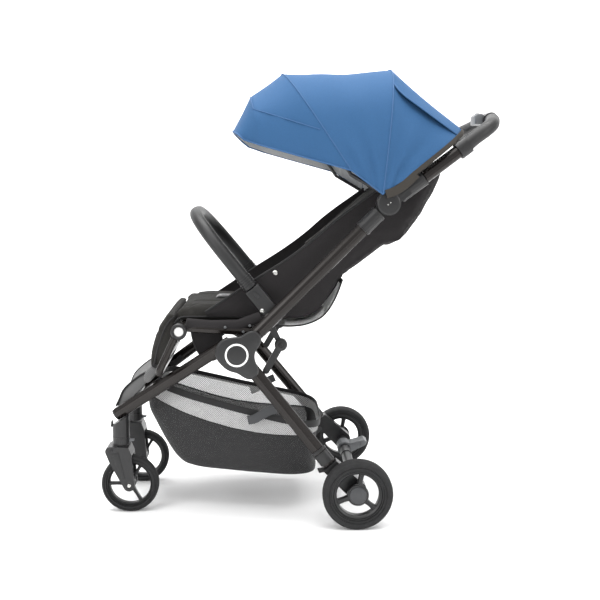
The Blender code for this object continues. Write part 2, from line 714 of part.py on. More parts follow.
# ---------------------------------------------------------------- the whole stroller
def build():
    rear_fold = new_pivot("rear_leg_fold_axis", *HUB)
    front_fold = new_pivot("front_leg_fold_axis", *HUB)
    handle_fold = new_pivot("handle_fold_axis", *FOLD_DISC)
    canopy = {"mid": new_pivot("canopy_mid_axis", *FOLD_DISC),
              "front": new_pivot("canopy_front_axis", *VISOR_PIVOT)}
    links = {"upper": new_pivot("upper_link_axis", *LINK_TOP),
             "lower": new_pivot("lower_link_axis", *LINK_LOW)}
    brake = new_pivot("brake_axis", *REAR_AXLE)
    button = new_pivot("fold_button_axis", 0.404, 0.872)
    bumper = new_pivot("bumper_axis", *bumper_point(BUMPER_SOCKET_LENGTH))
    leg_rest = new_pivot("leg_rest_axis", *LEG_REST_HINGE)
    recline = new_pivot("recline_axis", -0.085, 0.450)

    for name, side in SIDES.items():
        make_hub(name, side)
        make_back_tube(name, side)
        fold_half("lower_sleeve_" + name, BACK_ANGLE + math.pi, 0.076,
                  side_band(side, 0.1872, 0.2000), "plastic")
        make_rear_leg(name, side, rear_fold)
        make_rear_foot(name, side, rear_fold)
        make_front_leg(name, side, front_fold)
        make_caster_housing(name, side, front_fold)
        make_links(name, side, links)
        wheel_y = side * FRONT_WHEEL_Y
        caster = {"swivel": new_pivot("caster_axis_" + name, CASTER_X, 0.16, wheel_y),
                  "fork": new_pivot("suspension_axis_" + name, *SUSPENSION, wheel_y)}
        make_caster(name, side, caster)
        wheel = new_pivot("front_wheel_axis_" + name, *FRONT_AXLE, wheel_y)
        make_tyre("front_tyre_" + name, FRONT_TYRE, FRONT_AXLE, wheel_y, wheel)
        make_rim("front_rim_" + name, FRONT_TYRE, FRONT_RIM, FRONT_AXLE, wheel_y, wheel)
        wheel_y = side * REAR_WHEEL_Y
        wheel = new_pivot("rear_wheel_axis_" + name, *REAR_AXLE, wheel_y)
        make_tyre("rear_tyre_" + name, REAR_TYRE, REAR_AXLE, wheel_y, wheel)
        make_rim("rear_rim_" + name, REAR_TYRE, REAR_RIM, REAR_AXLE, wheel_y, wheel)
    make_rear_axle(rear_fold)
    make_brake_pedal(brake)
    make_front_cross(front_fold)
    make_handle(handle_fold, button)
    make_bumper(bumper)
    make_seat_frame()
    make_seat()
    make_backrest(recline)
    make_leg_rest(leg_rest)
    make_basket(rear_fold)
    make_canopy(canopy)


build()
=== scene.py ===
"""A cabin-size folding baby stroller, dressed with its real finishes and soft parts.

Metres. The front faces -X, the left side is -Y, +Z is up and the floor is at Z 0.
"""
import math

import bmesh
import bpy
import numpy as np
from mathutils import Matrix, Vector, noise
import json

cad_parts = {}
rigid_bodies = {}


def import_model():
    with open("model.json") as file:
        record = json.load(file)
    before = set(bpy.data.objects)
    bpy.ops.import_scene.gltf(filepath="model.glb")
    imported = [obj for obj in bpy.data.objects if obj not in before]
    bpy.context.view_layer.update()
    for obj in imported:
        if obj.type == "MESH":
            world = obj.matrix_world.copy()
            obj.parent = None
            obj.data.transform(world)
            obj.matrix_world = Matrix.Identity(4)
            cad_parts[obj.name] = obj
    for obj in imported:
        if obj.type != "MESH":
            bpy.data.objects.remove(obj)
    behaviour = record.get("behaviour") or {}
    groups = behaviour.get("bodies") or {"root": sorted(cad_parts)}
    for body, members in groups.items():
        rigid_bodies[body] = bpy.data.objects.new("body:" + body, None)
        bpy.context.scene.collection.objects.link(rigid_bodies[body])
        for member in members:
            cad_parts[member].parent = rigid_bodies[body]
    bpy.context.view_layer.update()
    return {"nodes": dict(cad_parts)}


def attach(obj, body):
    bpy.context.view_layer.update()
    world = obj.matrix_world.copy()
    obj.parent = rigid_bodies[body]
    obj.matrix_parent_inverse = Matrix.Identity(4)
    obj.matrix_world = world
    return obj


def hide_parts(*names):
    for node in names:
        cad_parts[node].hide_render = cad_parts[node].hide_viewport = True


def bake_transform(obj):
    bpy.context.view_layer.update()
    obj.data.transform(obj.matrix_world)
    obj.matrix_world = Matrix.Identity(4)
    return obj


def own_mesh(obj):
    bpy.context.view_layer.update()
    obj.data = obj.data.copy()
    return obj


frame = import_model()

# ---------------------------------------------------------------- shared sizes
SIDES = {"left": -1.0, "right": 1.0}
HUB = (-0.143, 0.373)
FOLD_DISC = (0.174, 0.687)
BACK_ANGLE = math.atan2(FOLD_DISC[1] - HUB[1], FOLD_DISC[0] - HUB[0])
HANDLE_ANGLE = math.radians(36.4)
REAR_AXLE = (0.111, 0.075)
REAR_WHEEL_Y = 0.2355
FRONT_AXLE = (-0.3865, 0.0635)
FRONT_WHEEL_Y = 0.107
SIDE_Y = 0.200


# ---------------------------------------------------------------- materials
def linear(colour):
    """An sRGB hex colour as the linear RGBA that a shader reads."""
    parts = [int(colour[i:i + 2], 16) / 255 for i in (0, 2, 4)]
    return [p / 12.92 if p <= 0.04045 else ((p + 0.055) / 1.055) ** 2.4 for p in parts] + [1.0]


def new_material(name, colour, roughness, metallic=0.0, **sockets):
    mat = bpy.data.materials.new(name)
    mat.use_nodes = True
    shader = mat.node_tree.nodes["Principled BSDF"]
    shader.inputs["Base Color"].default_value = linear(colour)
    shader.inputs["Roughness"].default_value = roughness
    shader.inputs["Metallic"].default_value = metallic
    for socket, value in sockets.items():
        shader.inputs[socket.replace("_", " ")].default_value = value
    return mat


def add_node(mat, kind, links=(), values=None, **settings):
    """A new node with its settings, its constant sockets and its incoming links."""
    made = mat.node_tree.nodes.new(kind)
    for key, value in settings.items():
        setattr(made, key, value)
    for key, value in (values or {}).items():
        made.inputs[key].default_value = value
    for key, source in links:
        mat.node_tree.links.new(source, made.inputs[key])
    return made


def plug(mat, source, socket):
    shader = mat.node_tree.nodes["Principled BSDF"]
    mat.node_tree.links.new(source, shader.inputs[socket])


def coordinates(mat):
    return add_node(mat, "ShaderNodeTexCoord").outputs["Object"]


def grain(mat, scale, depth, detail=3.0):
    """A fine bump, in bumps per metre and metres of height."""
    place = coordinates(mat)
    speckle = add_node(mat, "ShaderNodeTexNoise", [("Vector", place)],
                       {"Scale": scale, "Detail": detail})
    bump = add_node(mat, "ShaderNodeBump", [("Height", speckle.outputs["Fac"])],
                    {"Strength": 0.6, "Distance": depth})
    plug(mat, bump.outputs["Normal"], "Normal")
    return speckle


def vary(mat, dark, light, scale, low=0.35, high=0.65):
    """Mottle the colour between two tones."""
    place = coordinates(mat)
    cloud = add_node(mat, "ShaderNodeTexNoise", [("Vector", place)],
                     {"Scale": scale, "Detail": 4.0})
    ramp = add_node(mat, "ShaderNodeValToRGB", [("Fac", cloud.outputs["Fac"])])
    ramp.color_ramp.elements[0].position = low
    ramp.color_ramp.elements[0].color = linear(dark)
    ramp.color_ramp.elements[1].position = high
    ramp.color_ramp.elements[1].color = linear(light)
    plug(mat, ramp.outputs["Color"], "Base Color")
    return ramp


def woven(mat, dark, light, pitch, depth):
    """A plain weave on a UV map measured in metres: warp and weft in a checker of two tones."""
    cloth = add_node(mat, "ShaderNodeUVMap", uv_map="cloth").outputs["UV"]
    weave = add_node(mat, "ShaderNodeTexChecker", [("Vector", cloth)], {"Scale": 1 / pitch})
    weave.inputs["Color1"].default_value = linear(dark)
    weave.inputs["Color2"].default_value = linear(light)
    fuzz = add_node(mat, "ShaderNodeTexNoise", [("Vector", coordinates(mat))],
                    {"Scale": 260.0, "Detail": 5.0})
    mixed = add_node(mat, "ShaderNodeMix", data_type="RGBA", blend_type="OVERLAY")
    mixed.inputs["Factor"].default_value = 0.10
    mat.node_tree.links.new(weave.outputs["Color"], mixed.inputs["A"])
    desaturate = add_node(mat, "ShaderNodeRGBToBW", [("Color", fuzz.outputs["Color"])])
    mat.node_tree.links.new(desaturate.outputs["Val"], mixed.inputs["B"])
    plug(mat, mixed.outputs["Result"], "Base Color")
    bump = add_node(mat, "ShaderNodeBump", [("Height", weave.outputs["Fac"])],
                    {"Strength": 0.5, "Distance": depth})
    plug(mat, bump.outputs["Normal"], "Normal")


def netting(mat, pitch, hole, share):
    """Holes of a knitted net on a UV map in metres. A hole takes that share of its cell."""
    cloth = add_node(mat, "ShaderNodeUVMap", uv_map="cloth").outputs["UV"]
    turned = add_node(mat, "ShaderNodeMapping", [("Vector", cloth)])
    turned.inputs["Rotation"].default_value = (0.0, 0.0, math.radians(45))
    cells = add_node(mat, "ShaderNodeTexVoronoi", [("Vector", turned.outputs["Vector"])],
                     {"Scale": 1 / pitch, "Randomness": 0.08}, feature="F1")
    inside = add_node(mat, "ShaderNodeMath", [(0, cells.outputs["Distance"])],
                      operation="GREATER_THAN")
    inside.inputs[1].default_value = hole
    solid = add_node(mat, "ShaderNodeMath", [(0, inside.outputs[0])], operation="MAXIMUM")
    solid.inputs[1].default_value = 1.0 - share
    plug(mat, solid.outputs[0], "Alpha")


TUBE = new_material("black_brown_anodised_aluminium", "1E1A18", 0.24, 0.55, Specular_IOR_Level=0.7)
grain(TUBE, 900.0, 0.00004)
PLASTIC = new_material("charcoal_glass_filled_nylon", "171718", 0.38)
grain(PLASTIC, 1400.0, 0.00008)
DARK_PLASTIC = new_material("black_nylon", "161617", 0.40)
grain(DARK_PLASTIC, 1400.0, 0.00006)
GREY_PLASTIC = new_material("light_grey_abs", "5E6062", 0.4)
grain(GREY_PLASTIC, 1200.0, 0.00005)
CAP_PLASTIC = new_material("mid_grey_abs", "393A3C", 0.38)
WHITE_RING = new_material("white_acetal_ring", "ECECEA", 0.35)
TYRE = new_material("foamed_eva_tyre", "19191A", 0.80)
vary(TYRE, "161617", "1D1D1E", 90.0)
grain(TYRE, 1100.0, 0.00012)
RIM = new_material("black_nylon_rim", "151516", 0.38)
grain(RIM, 1300.0, 0.00006)
STEEL = new_material("nickel_plated_steel", "C9C9C6", 0.24, 1.0)
FOAM = new_material("black_nbr_foam_cover", "111112", 0.50)
grain(FOAM, 1500.0, 0.00015)
WEBBING = new_material("black_polyester_webbing", "1C1C1D", 0.85, Sheen_Weight=0.15)
grain(WEBBING, 700.0, 0.0002)
GREY_WEBBING = new_material("grey_polyester_webbing", "3F4042", 0.85)
grain(GREY_WEBBING, 700.0, 0.0002)
PIPING = new_material("black_polyester_binding", "141415", 0.8, Sheen_Weight=0.1)
SEAT_CLOTH = new_material("charcoal_melange_polyester", "282725", 0.92, Sheen_Weight=0.0,
                          Specular_IOR_Level=0.25)
woven(SEAT_CLOTH, "232220", "2D2C2A", 0.0009, 0.00012)
SIDE_CLOTH = new_material("black_oxford_polyester", "1B191A", 0.88, Sheen_Weight=0.0, Specular_IOR_Level=0.3)
woven(SIDE_CLOTH, "1B191A", "242223", 0.0008, 0.00012)
SILVER_CLOTH = new_material("light_grey_polyester_mesh", "5C5C5C", 0.8)
woven(SILVER_CLOTH, "4E4E4E", "696969", 0.0022, 0.00035)
CANOPY_CLOTH = new_material("blue_coated_polyester", "2A5179", 0.78, Sheen_Weight=0.0, Specular_IOR_Level=0.3)
woven(CANOPY_CLOTH, "274D74", "2D567F", 0.0007, 0.00008)
CANOPY_TRIM = new_material("blue_polyester_binding", "2C547E", 0.75)
LINING = new_material("pale_grey_taffeta_lining", "B9BBBD", 0.7)
woven(LINING, "AEB0B2", "C4C6C8", 0.0012, 0.00006)
TAUPE_CLOTH = new_material("taupe_elastic_tape", "2E2A25", 0.85)
grain(TAUPE_CLOTH, 800.0, 0.0002)
BODY_MESH = new_material("black_knitted_mesh", "262627", 0.9, Sheen_Weight=0.1)
netting(BODY_MESH, 0.0030, 0.26, 0.45)
grain(BODY_MESH, 500.0, 0.0003)
WINDOW_MESH = new_material("grey_knitted_window_mesh", "B0B0B0", 0.85)
netting(WINDOW_MESH, 0.0034, 0.30, 0.90)


# ---------------------------------------------------------------- shape helpers
def at(origin, angle, distance):
    """The point (x, z) at a distance from another, at an angle up from +X."""
    return (origin[0] + distance * math.cos(angle), origin[1] + distance * math.sin(angle))


def lerp(start, end, share):
    return tuple(a + (b - a) * share for a, b in zip(start, end))


def linked(name, shape, mats, body=None, smooth_angle=35):
    """An object from a bmesh, smooth but for its sharp edges, on a CAD body."""
    bmesh.ops.recalc_face_normals(shape, faces=shape.faces)
    mesh = bpy.data.meshes.new(name)
    shape.to_mesh(mesh)
    shape.free()
    for mat in mats if isinstance(mats, (list, tuple)) else [mats]:
        mesh.materials.append(mat)
    mesh.shade_smooth()
    if smooth_angle < 180:
        mesh.set_sharp_from_angle(angle=math.radians(smooth_angle))
    obj = bpy.data.objects.new(name, mesh)
    bpy.context.scene.collection.objects.link(obj)
    if body:
        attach(obj, body)
    return obj


def lathed(name, profile, centre, y, mats, body, side=1.0, steps=96, smooth_angle=35):
    """A profile of (radius, distance out along Y) turned about an axis along Y."""
    shape = bmesh.new()
    verts = [shape.verts.new((centre[0] + r, y + side * out, centre[1])) for r, out in profile]
    edges = [shape.edges.new(pair) for pair in zip(verts, verts[1:])]
    bmesh.ops.spin(shape, geom=verts + edges, cent=(centre[0], y, centre[1]), axis=(0, 1, 0),
                   angle=2 * math.pi, steps=steps, use_duplicate=False, use_merge=True)
    bmesh.ops.remove_doubles(shape, verts=shape.verts, dist=0.000005)
    return linked(name, shape, mats, body, smooth_angle)


def extruded(name, outline, low, high, mats, body, round_edge=0.0, holes=(), smooth_angle=35):
    """An outline of (x, z) made thick along Y, with rounded edges."""
    shape = bmesh.new()
    loops = [outline, *holes]
    edges = []
    for loop in loops:
        ring = [shape.verts.new((x, low, z)) for x, z in loop]
        edges += [shape.edges.new((a, b)) for a, b in zip(ring, ring[1:] + ring[:1])]
    bmesh.ops.triangle_fill(shape, use_beauty=True, use_dissolve=not holes, edges=edges)
    made = bmesh.ops.extrude_face_region(shape, geom=list(shape.faces))
    moved = [v for v in made["geom"] if isinstance(v, bmesh.types.BMVert)]
    bmesh.ops.translate(shape, verts=moved, vec=(0, high - low, 0))
    bmesh.ops.recalc_face_normals(shape, faces=shape.faces)
    if round_edge:
        rims = [e for e in shape.edges if len(e.link_faces) == 2
                and abs(abs(e.link_faces[0].normal.y) - abs(e.link_faces[1].normal.y)) > 0.5]
        bmesh.ops.bevel(shape, geom=rims, offset=round_edge, segments=3, profile=0.5,
                        affect="EDGES", material=-1, clamp_overlap=True)
    return linked(name, shape, mats, body, smooth_angle)


def section(wide, tall, count=20, power=1.0):
    """A closed cross-section: an oval at power 1, squarer below it."""
    points = []
    for i in range(count):
        turn = 2 * math.pi * i / count
        c, s = math.cos(turn), math.sin(turn)
        points.append((math.copysign(abs(c) ** power, c) * wide / 2,
                       math.copysign(abs(s) ** power, s) * tall / 2))
    return points


def bezier(points, count):
    """Points on a smooth line through the given ones, evenly spread along each span."""
    points = [Vector(p) for p in points]
    route = []
    for i in range(len(points) - 1):
        before = points[max(i - 1, 0)]
        here, there = points[i], points[i + 1]
        after = points[min(i + 2, len(points) - 1)]
        for step in range(count):
            t = step / count
            route.append(0.5 * ((2 * here) + (there - before) * t
                                + (2 * before - 5 * here + 4 * there - after) * t * t
                                + (3 * here - before - 3 * there + after) * t ** 3))
    route.append(points[-1])
    return route


def swept(name, route, sections, mats, body=None, up=(0, 1, 0), closed=False, dome=0.0):
    """A cross-section, or one for each point, carried along a route. Width lies along up."""
    route = [Vector(p) for p in route]
    count = len(route)
    if isinstance(sections[0][0], (int, float)):
        sections = [sections] * count
    shape = bmesh.new()
    rings = []
    side = Vector(up)
    for i, place in enumerate(route):
        before = route[i - 1] if i or closed else place
        after = route[(i + 1) % count] if i < count - 1 or closed else place
        forward = (after - before).normalized()
        side = (side - forward * side.dot(forward)).normalized()
        normal = forward.cross(side)
        rings.append([shape.verts.new(place + side * a + normal * b) for a, b in sections[i]])
    pairs = list(zip(rings, rings[1:])) + ([(rings[-1], rings[0])] if closed else [])
    for low, high in pairs:
        size = len(low)
        for i in range(size):
            shape.faces.new((low[i], low[(i + 1) % size], high[(i + 1) % size], high[i]))
    if not closed:
        for ring, near in ((rings[0], route[1]), (rings[-1], route[-2])):
            middle = sum((v.co for v in ring), Vector()) / len(ring)
            tip = shape.verts.new(middle + (middle - near).normalized() * dome)
            size = len(ring)
            for i in range(size):
                shape.faces.new((ring[i], ring[(i + 1) % size], tip))
    return linked(name, shape, mats, body)


def screw(name, place, side, body, radius=0.0045, mat=None):
    """A domed cross-recess screw head on an outer face, its axis along Y."""
    x, y, z = place
    lathed(name, [(0.0, 0.0016), (radius * 0.45, 0.0015), (radius * 0.5, 0.0008),
                  (radius * 0.62, 0.0008), (radius * 0.7, 0.0013), (radius, 0.0002),
                  (radius, -0.0006)], (x, z), y, mat or STEEL, body, side, steps=24)


def paint(mats_by_node):
    """Give CAD nodes that stay in view their real material and softened edges."""
    for node, (mat, width) in mats_by_node.items():
        obj = frame["nodes"][node]
        obj.data.materials.clear()
        obj.data.materials.append(mat)
        if width:
            soften = obj.modifiers.new("soft_edges", "BEVEL")
            soften.width = width
            soften.segments = 2
            soften.limit_method = "ANGLE"
            soften.angle_limit = math.radians(38)
            soften.use_clamp_overlap = True


def cloth_uv(obj):
    """A UV map in metres for weave and net: each face lies along its two main directions."""
    layer = obj.data.uv_layers.new(name="cloth")
    for face in obj.data.polygons:
        n = face.normal
        for loop in face.loop_indices:
            p = obj.data.vertices[obj.data.loops[loop].vertex_index].co
            if abs(n.y) > 0.6:
                layer.data[loop].uv = (p.x, p.z)
            elif abs(n.z) > abs(n.x):
                layer.data[loop].uv = (p.x * 1.1, p.y)
            else:
                layer.data[loop].uv = (p.z * 1.1, p.y)
    return obj


# ---------------------------------------------------------------- canopy
# A sewn cover of blue coated polyester with a pale lining, stretched over three wire bows.
# Its front flap hangs from the two front bows, and the back panel is stitched to a taped hem.
ARCHES = {
    "edge": ((-0.152, 0.840), (-0.124, 0.817), 0.198),
    "visor": ((-0.114, 0.915), (-0.088, 0.805), 0.212),
    "mid": ((-0.046, 0.965), (0.094, 0.755), 0.222),
    "rear": ((0.190, 0.975), (0.160, 0.706), 0.222),
    "hem": ((0.347, 0.846), (0.222, 0.748), 0.222),
}
CLOTH_THICKNESS = 0.0012
ACROSS = 72
SEAM_START = 13


def arch(key, count=ACROSS, inset=0.0):
    """Points over an arch, from its left foot across the top to its right foot."""
    top, side, half_width = ARCHES[key]
    points = []
    for i in range(count + 1):
        turn = math.pi * i / count
        across = -math.copysign(abs(math.cos(turn)) ** 0.62, math.cos(turn))
        rise = math.sin(turn) ** 0.62 if 0 < i < count else 0.0
        points.append(Vector((side[0] + (top[0] - side[0]) * rise,
                              (half_width - inset) * across,
                              side[1] + (top[1] - side[1]) * rise - inset * rise)))
    return points


def panel(start, end, count, slack, wrinkle=0.0, seed=0.0, gather=0.0):
    """Rows of points between two arches. The cloth dips between them, creases a little, and
    gathers into folds that fan out from the foot of the first arch on each side."""
    rows = []
    for step in range(count + 1):
        t = step / count
        row = []
        for i, (a, b) in enumerate(zip(start, end)):
            place = a.lerp(b, t)
            foot = start[0] if place.y < 0 else start[-1]
            share = math.sin(math.pi * i / (len(start) - 1))
            inward = Vector((0.0, -place.y, 0.80 - place.z)).normalized()
            taut = math.sin(math.pi * t)
            dip = slack * taut * (0.35 + 0.65 * share)
            ripple = noise.noise(Vector((place.x * 16, place.y * 7 + seed, place.z * 9)))
            fold = wrinkle * ripple * taut * (1.3 - share)
            reach = math.hypot(place.x - foot.x, place.z - foot.z)
            fan = math.atan2(place.x - foot.x, place.z - foot.z)
            pleat = math.sin(fan * 15 + seed) * math.exp(-((reach - 0.055) / 0.075) ** 2)
            fold += gather * pleat * min(1.0, 3 * t, 3 * (1 - t))
            row.append(place + inward * (dip + fold))
        rows.append(row)
    return rows


def cloth_shell(name, rows, outer, inner, thickness=CLOTH_THICKNESS):
    """A sheet with its own thickness: the outer cloth on one side and the lining on the other."""
    shape = bmesh.new()
    height, width = len(rows), len(rows[0])
    spots = np.array([[tuple(p) for p in row] for row in rows])
    along_rows = np.gradient(spots, axis=0)
    along_arch = np.gradient(spots, axis=1)
    normals = np.cross(along_arch, along_rows)
    normals /= np.maximum(np.linalg.norm(normals, axis=2, keepdims=True), 1e-9)
    middle = spots.reshape(-1, 3).mean(0)
    if ((spots - middle) * normals).sum() < 0:
        normals = -normals
    faces = []
    for shift in (0.0, -thickness):
        grid = [[shape.verts.new(spots[j, i] + normals[j, i] * shift) for i in range(width)]
                for j in range(height)]
        faces.append(grid)
    top, under = faces
    for j in range(height - 1):
        for i in range(width - 1):
            shape.faces.new((top[j][i], top[j][i + 1], top[j + 1][i + 1], top[j + 1][i]))
            lining = shape.faces.new((under[j][i], under[j + 1][i], under[j + 1][i + 1],
                                      under[j][i + 1]))
            lining.material_index = 1
    rim = [(j, 0) for j in range(height)] + [(height - 1, i) for i in range(1, width)]
    rim += [(j, width - 1) for j in range(height - 2, -1, -1)]
    rim += [(0, i) for i in range(width - 2, 0, -1)]
    for (a, b), (c, d) in zip(rim, rim[1:] + rim[:1]):
        shape.faces.new((top[a][b], top[c][d], under[c][d], under[a][b]))
    return cloth_uv(linked(name, shape, [outer, inner], smooth_angle=50))


REAR_ROW, MID_ROW = arch("rear"), arch("mid")
VISOR_ROW, EDGE_ROW, HEM_ROW = arch("visor"), arch("edge"), arch("hem")

canopy_rear = cloth_shell("canopy_back_panel", panel(REAR_ROW, HEM_ROW, 40, 0.006, 0.010, 4.0, 0.0035),
                          CANOPY_CLOTH, LINING)
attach(canopy_rear, "back_frame")
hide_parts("canopy_rear")

canopy_top = cloth_shell("canopy_roof_panel", panel(REAR_ROW, MID_ROW, 48, 0.0045, 0.009, 1.0, 0.0045),
                         CANOPY_CLOTH, LINING)
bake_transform(canopy_top)
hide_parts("canopy_top")

visor_rows = panel(MID_ROW, VISOR_ROW, 12, 0.0015, 0.003, 7.0)
visor_rows += panel(VISOR_ROW, EDGE_ROW, 12, 0.0015, 0.002, 9.0)[1:]
canopy_visor = cloth_shell("canopy_visor_panel", visor_rows, CANOPY_CLOTH, LINING)
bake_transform(canopy_visor)
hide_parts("canopy_visor")


def raised(row, out):
    """A row of points moved off the cover, away from its middle line."""
    return [p + Vector((0.0, p.y, p.z - 0.80)).normalized() * out for p in row]


def welt(name, row, body, radius=0.0013, mat=CANOPY_TRIM):
    """A bound seam: a thin round binding sewn along the cover."""
    trim = swept(name, raised(row, 0.0002), section(2 * radius, 2 * radius, 8), mat, body)
    return trim


welt("canopy_seam_rear_bow", REAR_ROW, "back_frame", 0.0016)
welt("canopy_seam_mid_bow", MID_ROW, "canopy_mid", 0.0014)
welt("canopy_brim_binding", EDGE_ROW, "canopy_front", 0.0021)
for label, foot in (("left", 0), ("right", ACROSS)):
    lower = [MID_ROW[foot].lerp(VISOR_ROW[foot], t / 6) for t in range(7)]
    lower += [VISOR_ROW[foot].lerp(EDGE_ROW[foot], t / 4) for t in range(1, 5)]
    hem = swept("canopy_visor_hem_" + label, lower, section(0.0034, 0.0034, 8), CANOPY_TRIM)
    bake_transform(hem)
    lower = [REAR_ROW[foot].lerp(MID_ROW[foot], t / 8) for t in range(9)]
    hem = swept("canopy_roof_hem_" + label, lower, section(0.0034, 0.0034, 8), CANOPY_TRIM)
    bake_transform(hem)
    crease = []
    corner = VISOR_ROW[SEAM_START if foot == 0 else ACROSS - SEAM_START]
    end = Vector((0.030, corner.y, 0.8375))
    for step in range(17):
        spot = corner.lerp(end, step / 16)
        near = min((p for row in visor_rows for p in row if p.y * corner.y > 0),
                   key=lambda p: (p.x - spot.x) ** 2 + (p.z - spot.z) ** 2)
        crease.append(Vector((spot.x, near.y * 1.003, spot.z)))
    seam = swept("canopy_front_seam_" + label, crease, section(0.0022, 0.0022, 8), CANOPY_TRIM,
                 up=(0, 0, 1))
    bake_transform(seam)

welt("canopy_seam_front_bow", VISOR_ROW[SEAM_START:ACROSS + 1 - SEAM_START], "canopy_front", 0.0012)

# The vent flap: a second layer over the back panel, free along its lower edge.
flap_rows = []
for step in range(25):
    t = step / 24
    low = 0.246 + 0.030 * math.exp(-t / 0.07) - 0.012 * math.sin(math.pi * t)
    row = []
    for i in range(49):
        fraction = low + (1 - 2 * low) * i / 48
        slot = fraction * ACROSS
        whole = min(int(slot), ACROSS - 1)
        rear = REAR_ROW[whole].lerp(REAR_ROW[whole + 1], slot - whole)
        hem = HEM_ROW[whole].lerp(HEM_ROW[whole + 1], slot - whole)
        edge = abs(2 * i / 48 - 1) ** 5
        lift = 0.0014 + 0.0105 * edge * math.sin(math.pi * min(1.0, t * 1.02)) ** 0.8
        place = rear.lerp(hem, 0.01 + 0.96 * t)
        dip = 0.0040 * math.sin(math.pi * t) * (1 - edge)
        row.append(place + Vector((0.0, place.y, place.z - 0.80)).normalized() * (lift - dip))
    flap_rows.append(row)
vent_flap = cloth_shell("canopy_vent_flap", flap_rows, CANOPY_CLOTH, LINING, 0.0010)
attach(vent_flap, "back_frame")
for label, column in (("left", 0), ("right", -1)):
    swept("vent_flap_hem_" + label, [row[column] for row in flap_rows],
          section(0.0030, 0.0030, 8), CANOPY_TRIM, "back_frame")

# The taped hem behind the canopy, which is elastic and pulls round the frame tubes.
hem_line = [p + Vector((0.001, 0, 0)) for p in HEM_ROW]
swept("canopy_hem_tape", hem_line, section(0.0020, 0.0100, 12, 0.6), TAUPE_CLOTH, "back_frame")
for label, foot in (("left", 0), ("right", ACROSS)):
    line = []
    for t in range(11):
        sag = Vector((0.006, 0, -0.007 * math.sin(math.pi * t / 10)))
        line.append(REAR_ROW[foot].lerp(HEM_ROW[foot], t / 10) + sag)
    swept("canopy_side_tape_" + label, line, section(0.0022, 0.0180, 12, 0.6), TAUPE_CLOTH,
          "back_frame")

# The bows: sprung steel wire in a nylon sleeve, with flat nylon ends at their pivots.
for node in ("canopy_bow_front", "canopy_bow_mid", "canopy_bow_rear"):
    paint({node: (DARK_PLASTIC, 0.0)})


# ---------------------------------------------------------------- wheels
# Foamed EVA tyres on moulded nylon rims with three ribbed spokes, turning on plain steel axles.
def make_wheel(label, side, place, y, size, spokes, body, names):
    """One wheel: a tyre with a grooved tread, a rim band, a hub and ribbed spokes."""
    outer, seat, opening = size["outer"], size["seat"], size["opening"]
    half, band, hub = size["half"], size["band"], size["hub"]
    tyre_profile = [(seat, -half * 0.80), (seat + 0.001, -half * 0.92), (seat + 0.0035, -half * 0.93),
                    (seat + 0.0042, -half * 0.86), (seat + 0.0060, -half * 0.86),
                    (seat + 0.0070, -half * 0.97)]
    shoulder = outer - 0.0055
    tyre_profile += [(shoulder, -half), (outer - 0.0022, -half * 0.86), (outer - 0.0004, -half * 0.60)]
    for groove in (-0.36, 0.0, 0.36):
        tyre_profile += [(outer, half * (groove - 0.07)), (outer - 0.0011, half * (groove - 0.035)),
                         (outer - 0.0011, half * (groove + 0.035)), (outer, half * (groove + 0.07))]
    mirrored = [(r, -o) for r, o in reversed(tyre_profile[:9])]
    tyre_profile += mirrored + [tyre_profile[0]]
    tyre = lathed(f"{label}_tyre_{body}", tyre_profile, place, y, TYRE, body, side, 128)
    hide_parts(names[0])
    rim_profile = [(seat - 0.0002, -band), (seat - 0.0030, -band - 0.0006), (opening + 0.0020, -band * 0.9),
                   (opening, -band * 0.7), (opening - 0.0006, 0.0), (opening, band * 0.7),
                   (opening + 0.0020, band * 0.9), (seat - 0.0055, band + 0.0004),
                   (seat - 0.0040, band - 0.0008), (seat - 0.0030, band + 0.0006), (seat - 0.0002, band)]
    rim = lathed(f"{label}_rim_{body}", rim_profile + [rim_profile[0]], place, y, RIM, body, side, 128)
    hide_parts(names[1])
    hub_profile = [(0.0, band * 0.95), (hub * 0.55, band * 0.95), (hub * 0.62, band * 1.05),
                   (hub * 0.92, band * 0.98), (hub, band * 0.75), (hub, -band * 0.75),
                   (hub * 0.9, -band), (0.0, -band)]
    lathed(f"{label}_hub_{body}", hub_profile, place, y, RIM, body, side, 64)
    for index, turn in enumerate(spokes):
        angle = math.radians(turn)
        wide = size["spoke"]
        stations = [0.0, 0.18, 0.5, 0.82, 1.0]
        widths = [1.30, 1.05, 0.88, 1.0, 1.30]
        route, cuts = [], []
        for t, grow in zip(stations, widths):
            x, z = at(place, angle, hub * 0.82 + (opening + 0.0022 - hub * 0.82) * t)
            route.append((x, y + side * 0.0012, z))
            rounded_box = section(2 * band * (0.80 - 0.12 * t), wide * grow, 20, 0.55)
            cuts.append(rounded_box)
        swept(f"{label}_spoke_{index}_{body}", route, cuts, RIM, body)
        rib = [(*at(place, angle, hub * 1.02), 0), (*at(place, angle, opening * 0.97), 0)]
        out = y + side * band * 0.78
        swept(f"{label}_rib_{index}_{body}", [(x, out, z) for x, z, _ in rib],
              section(0.0042, wide * 0.34, 12, 0.6), RIM, body)


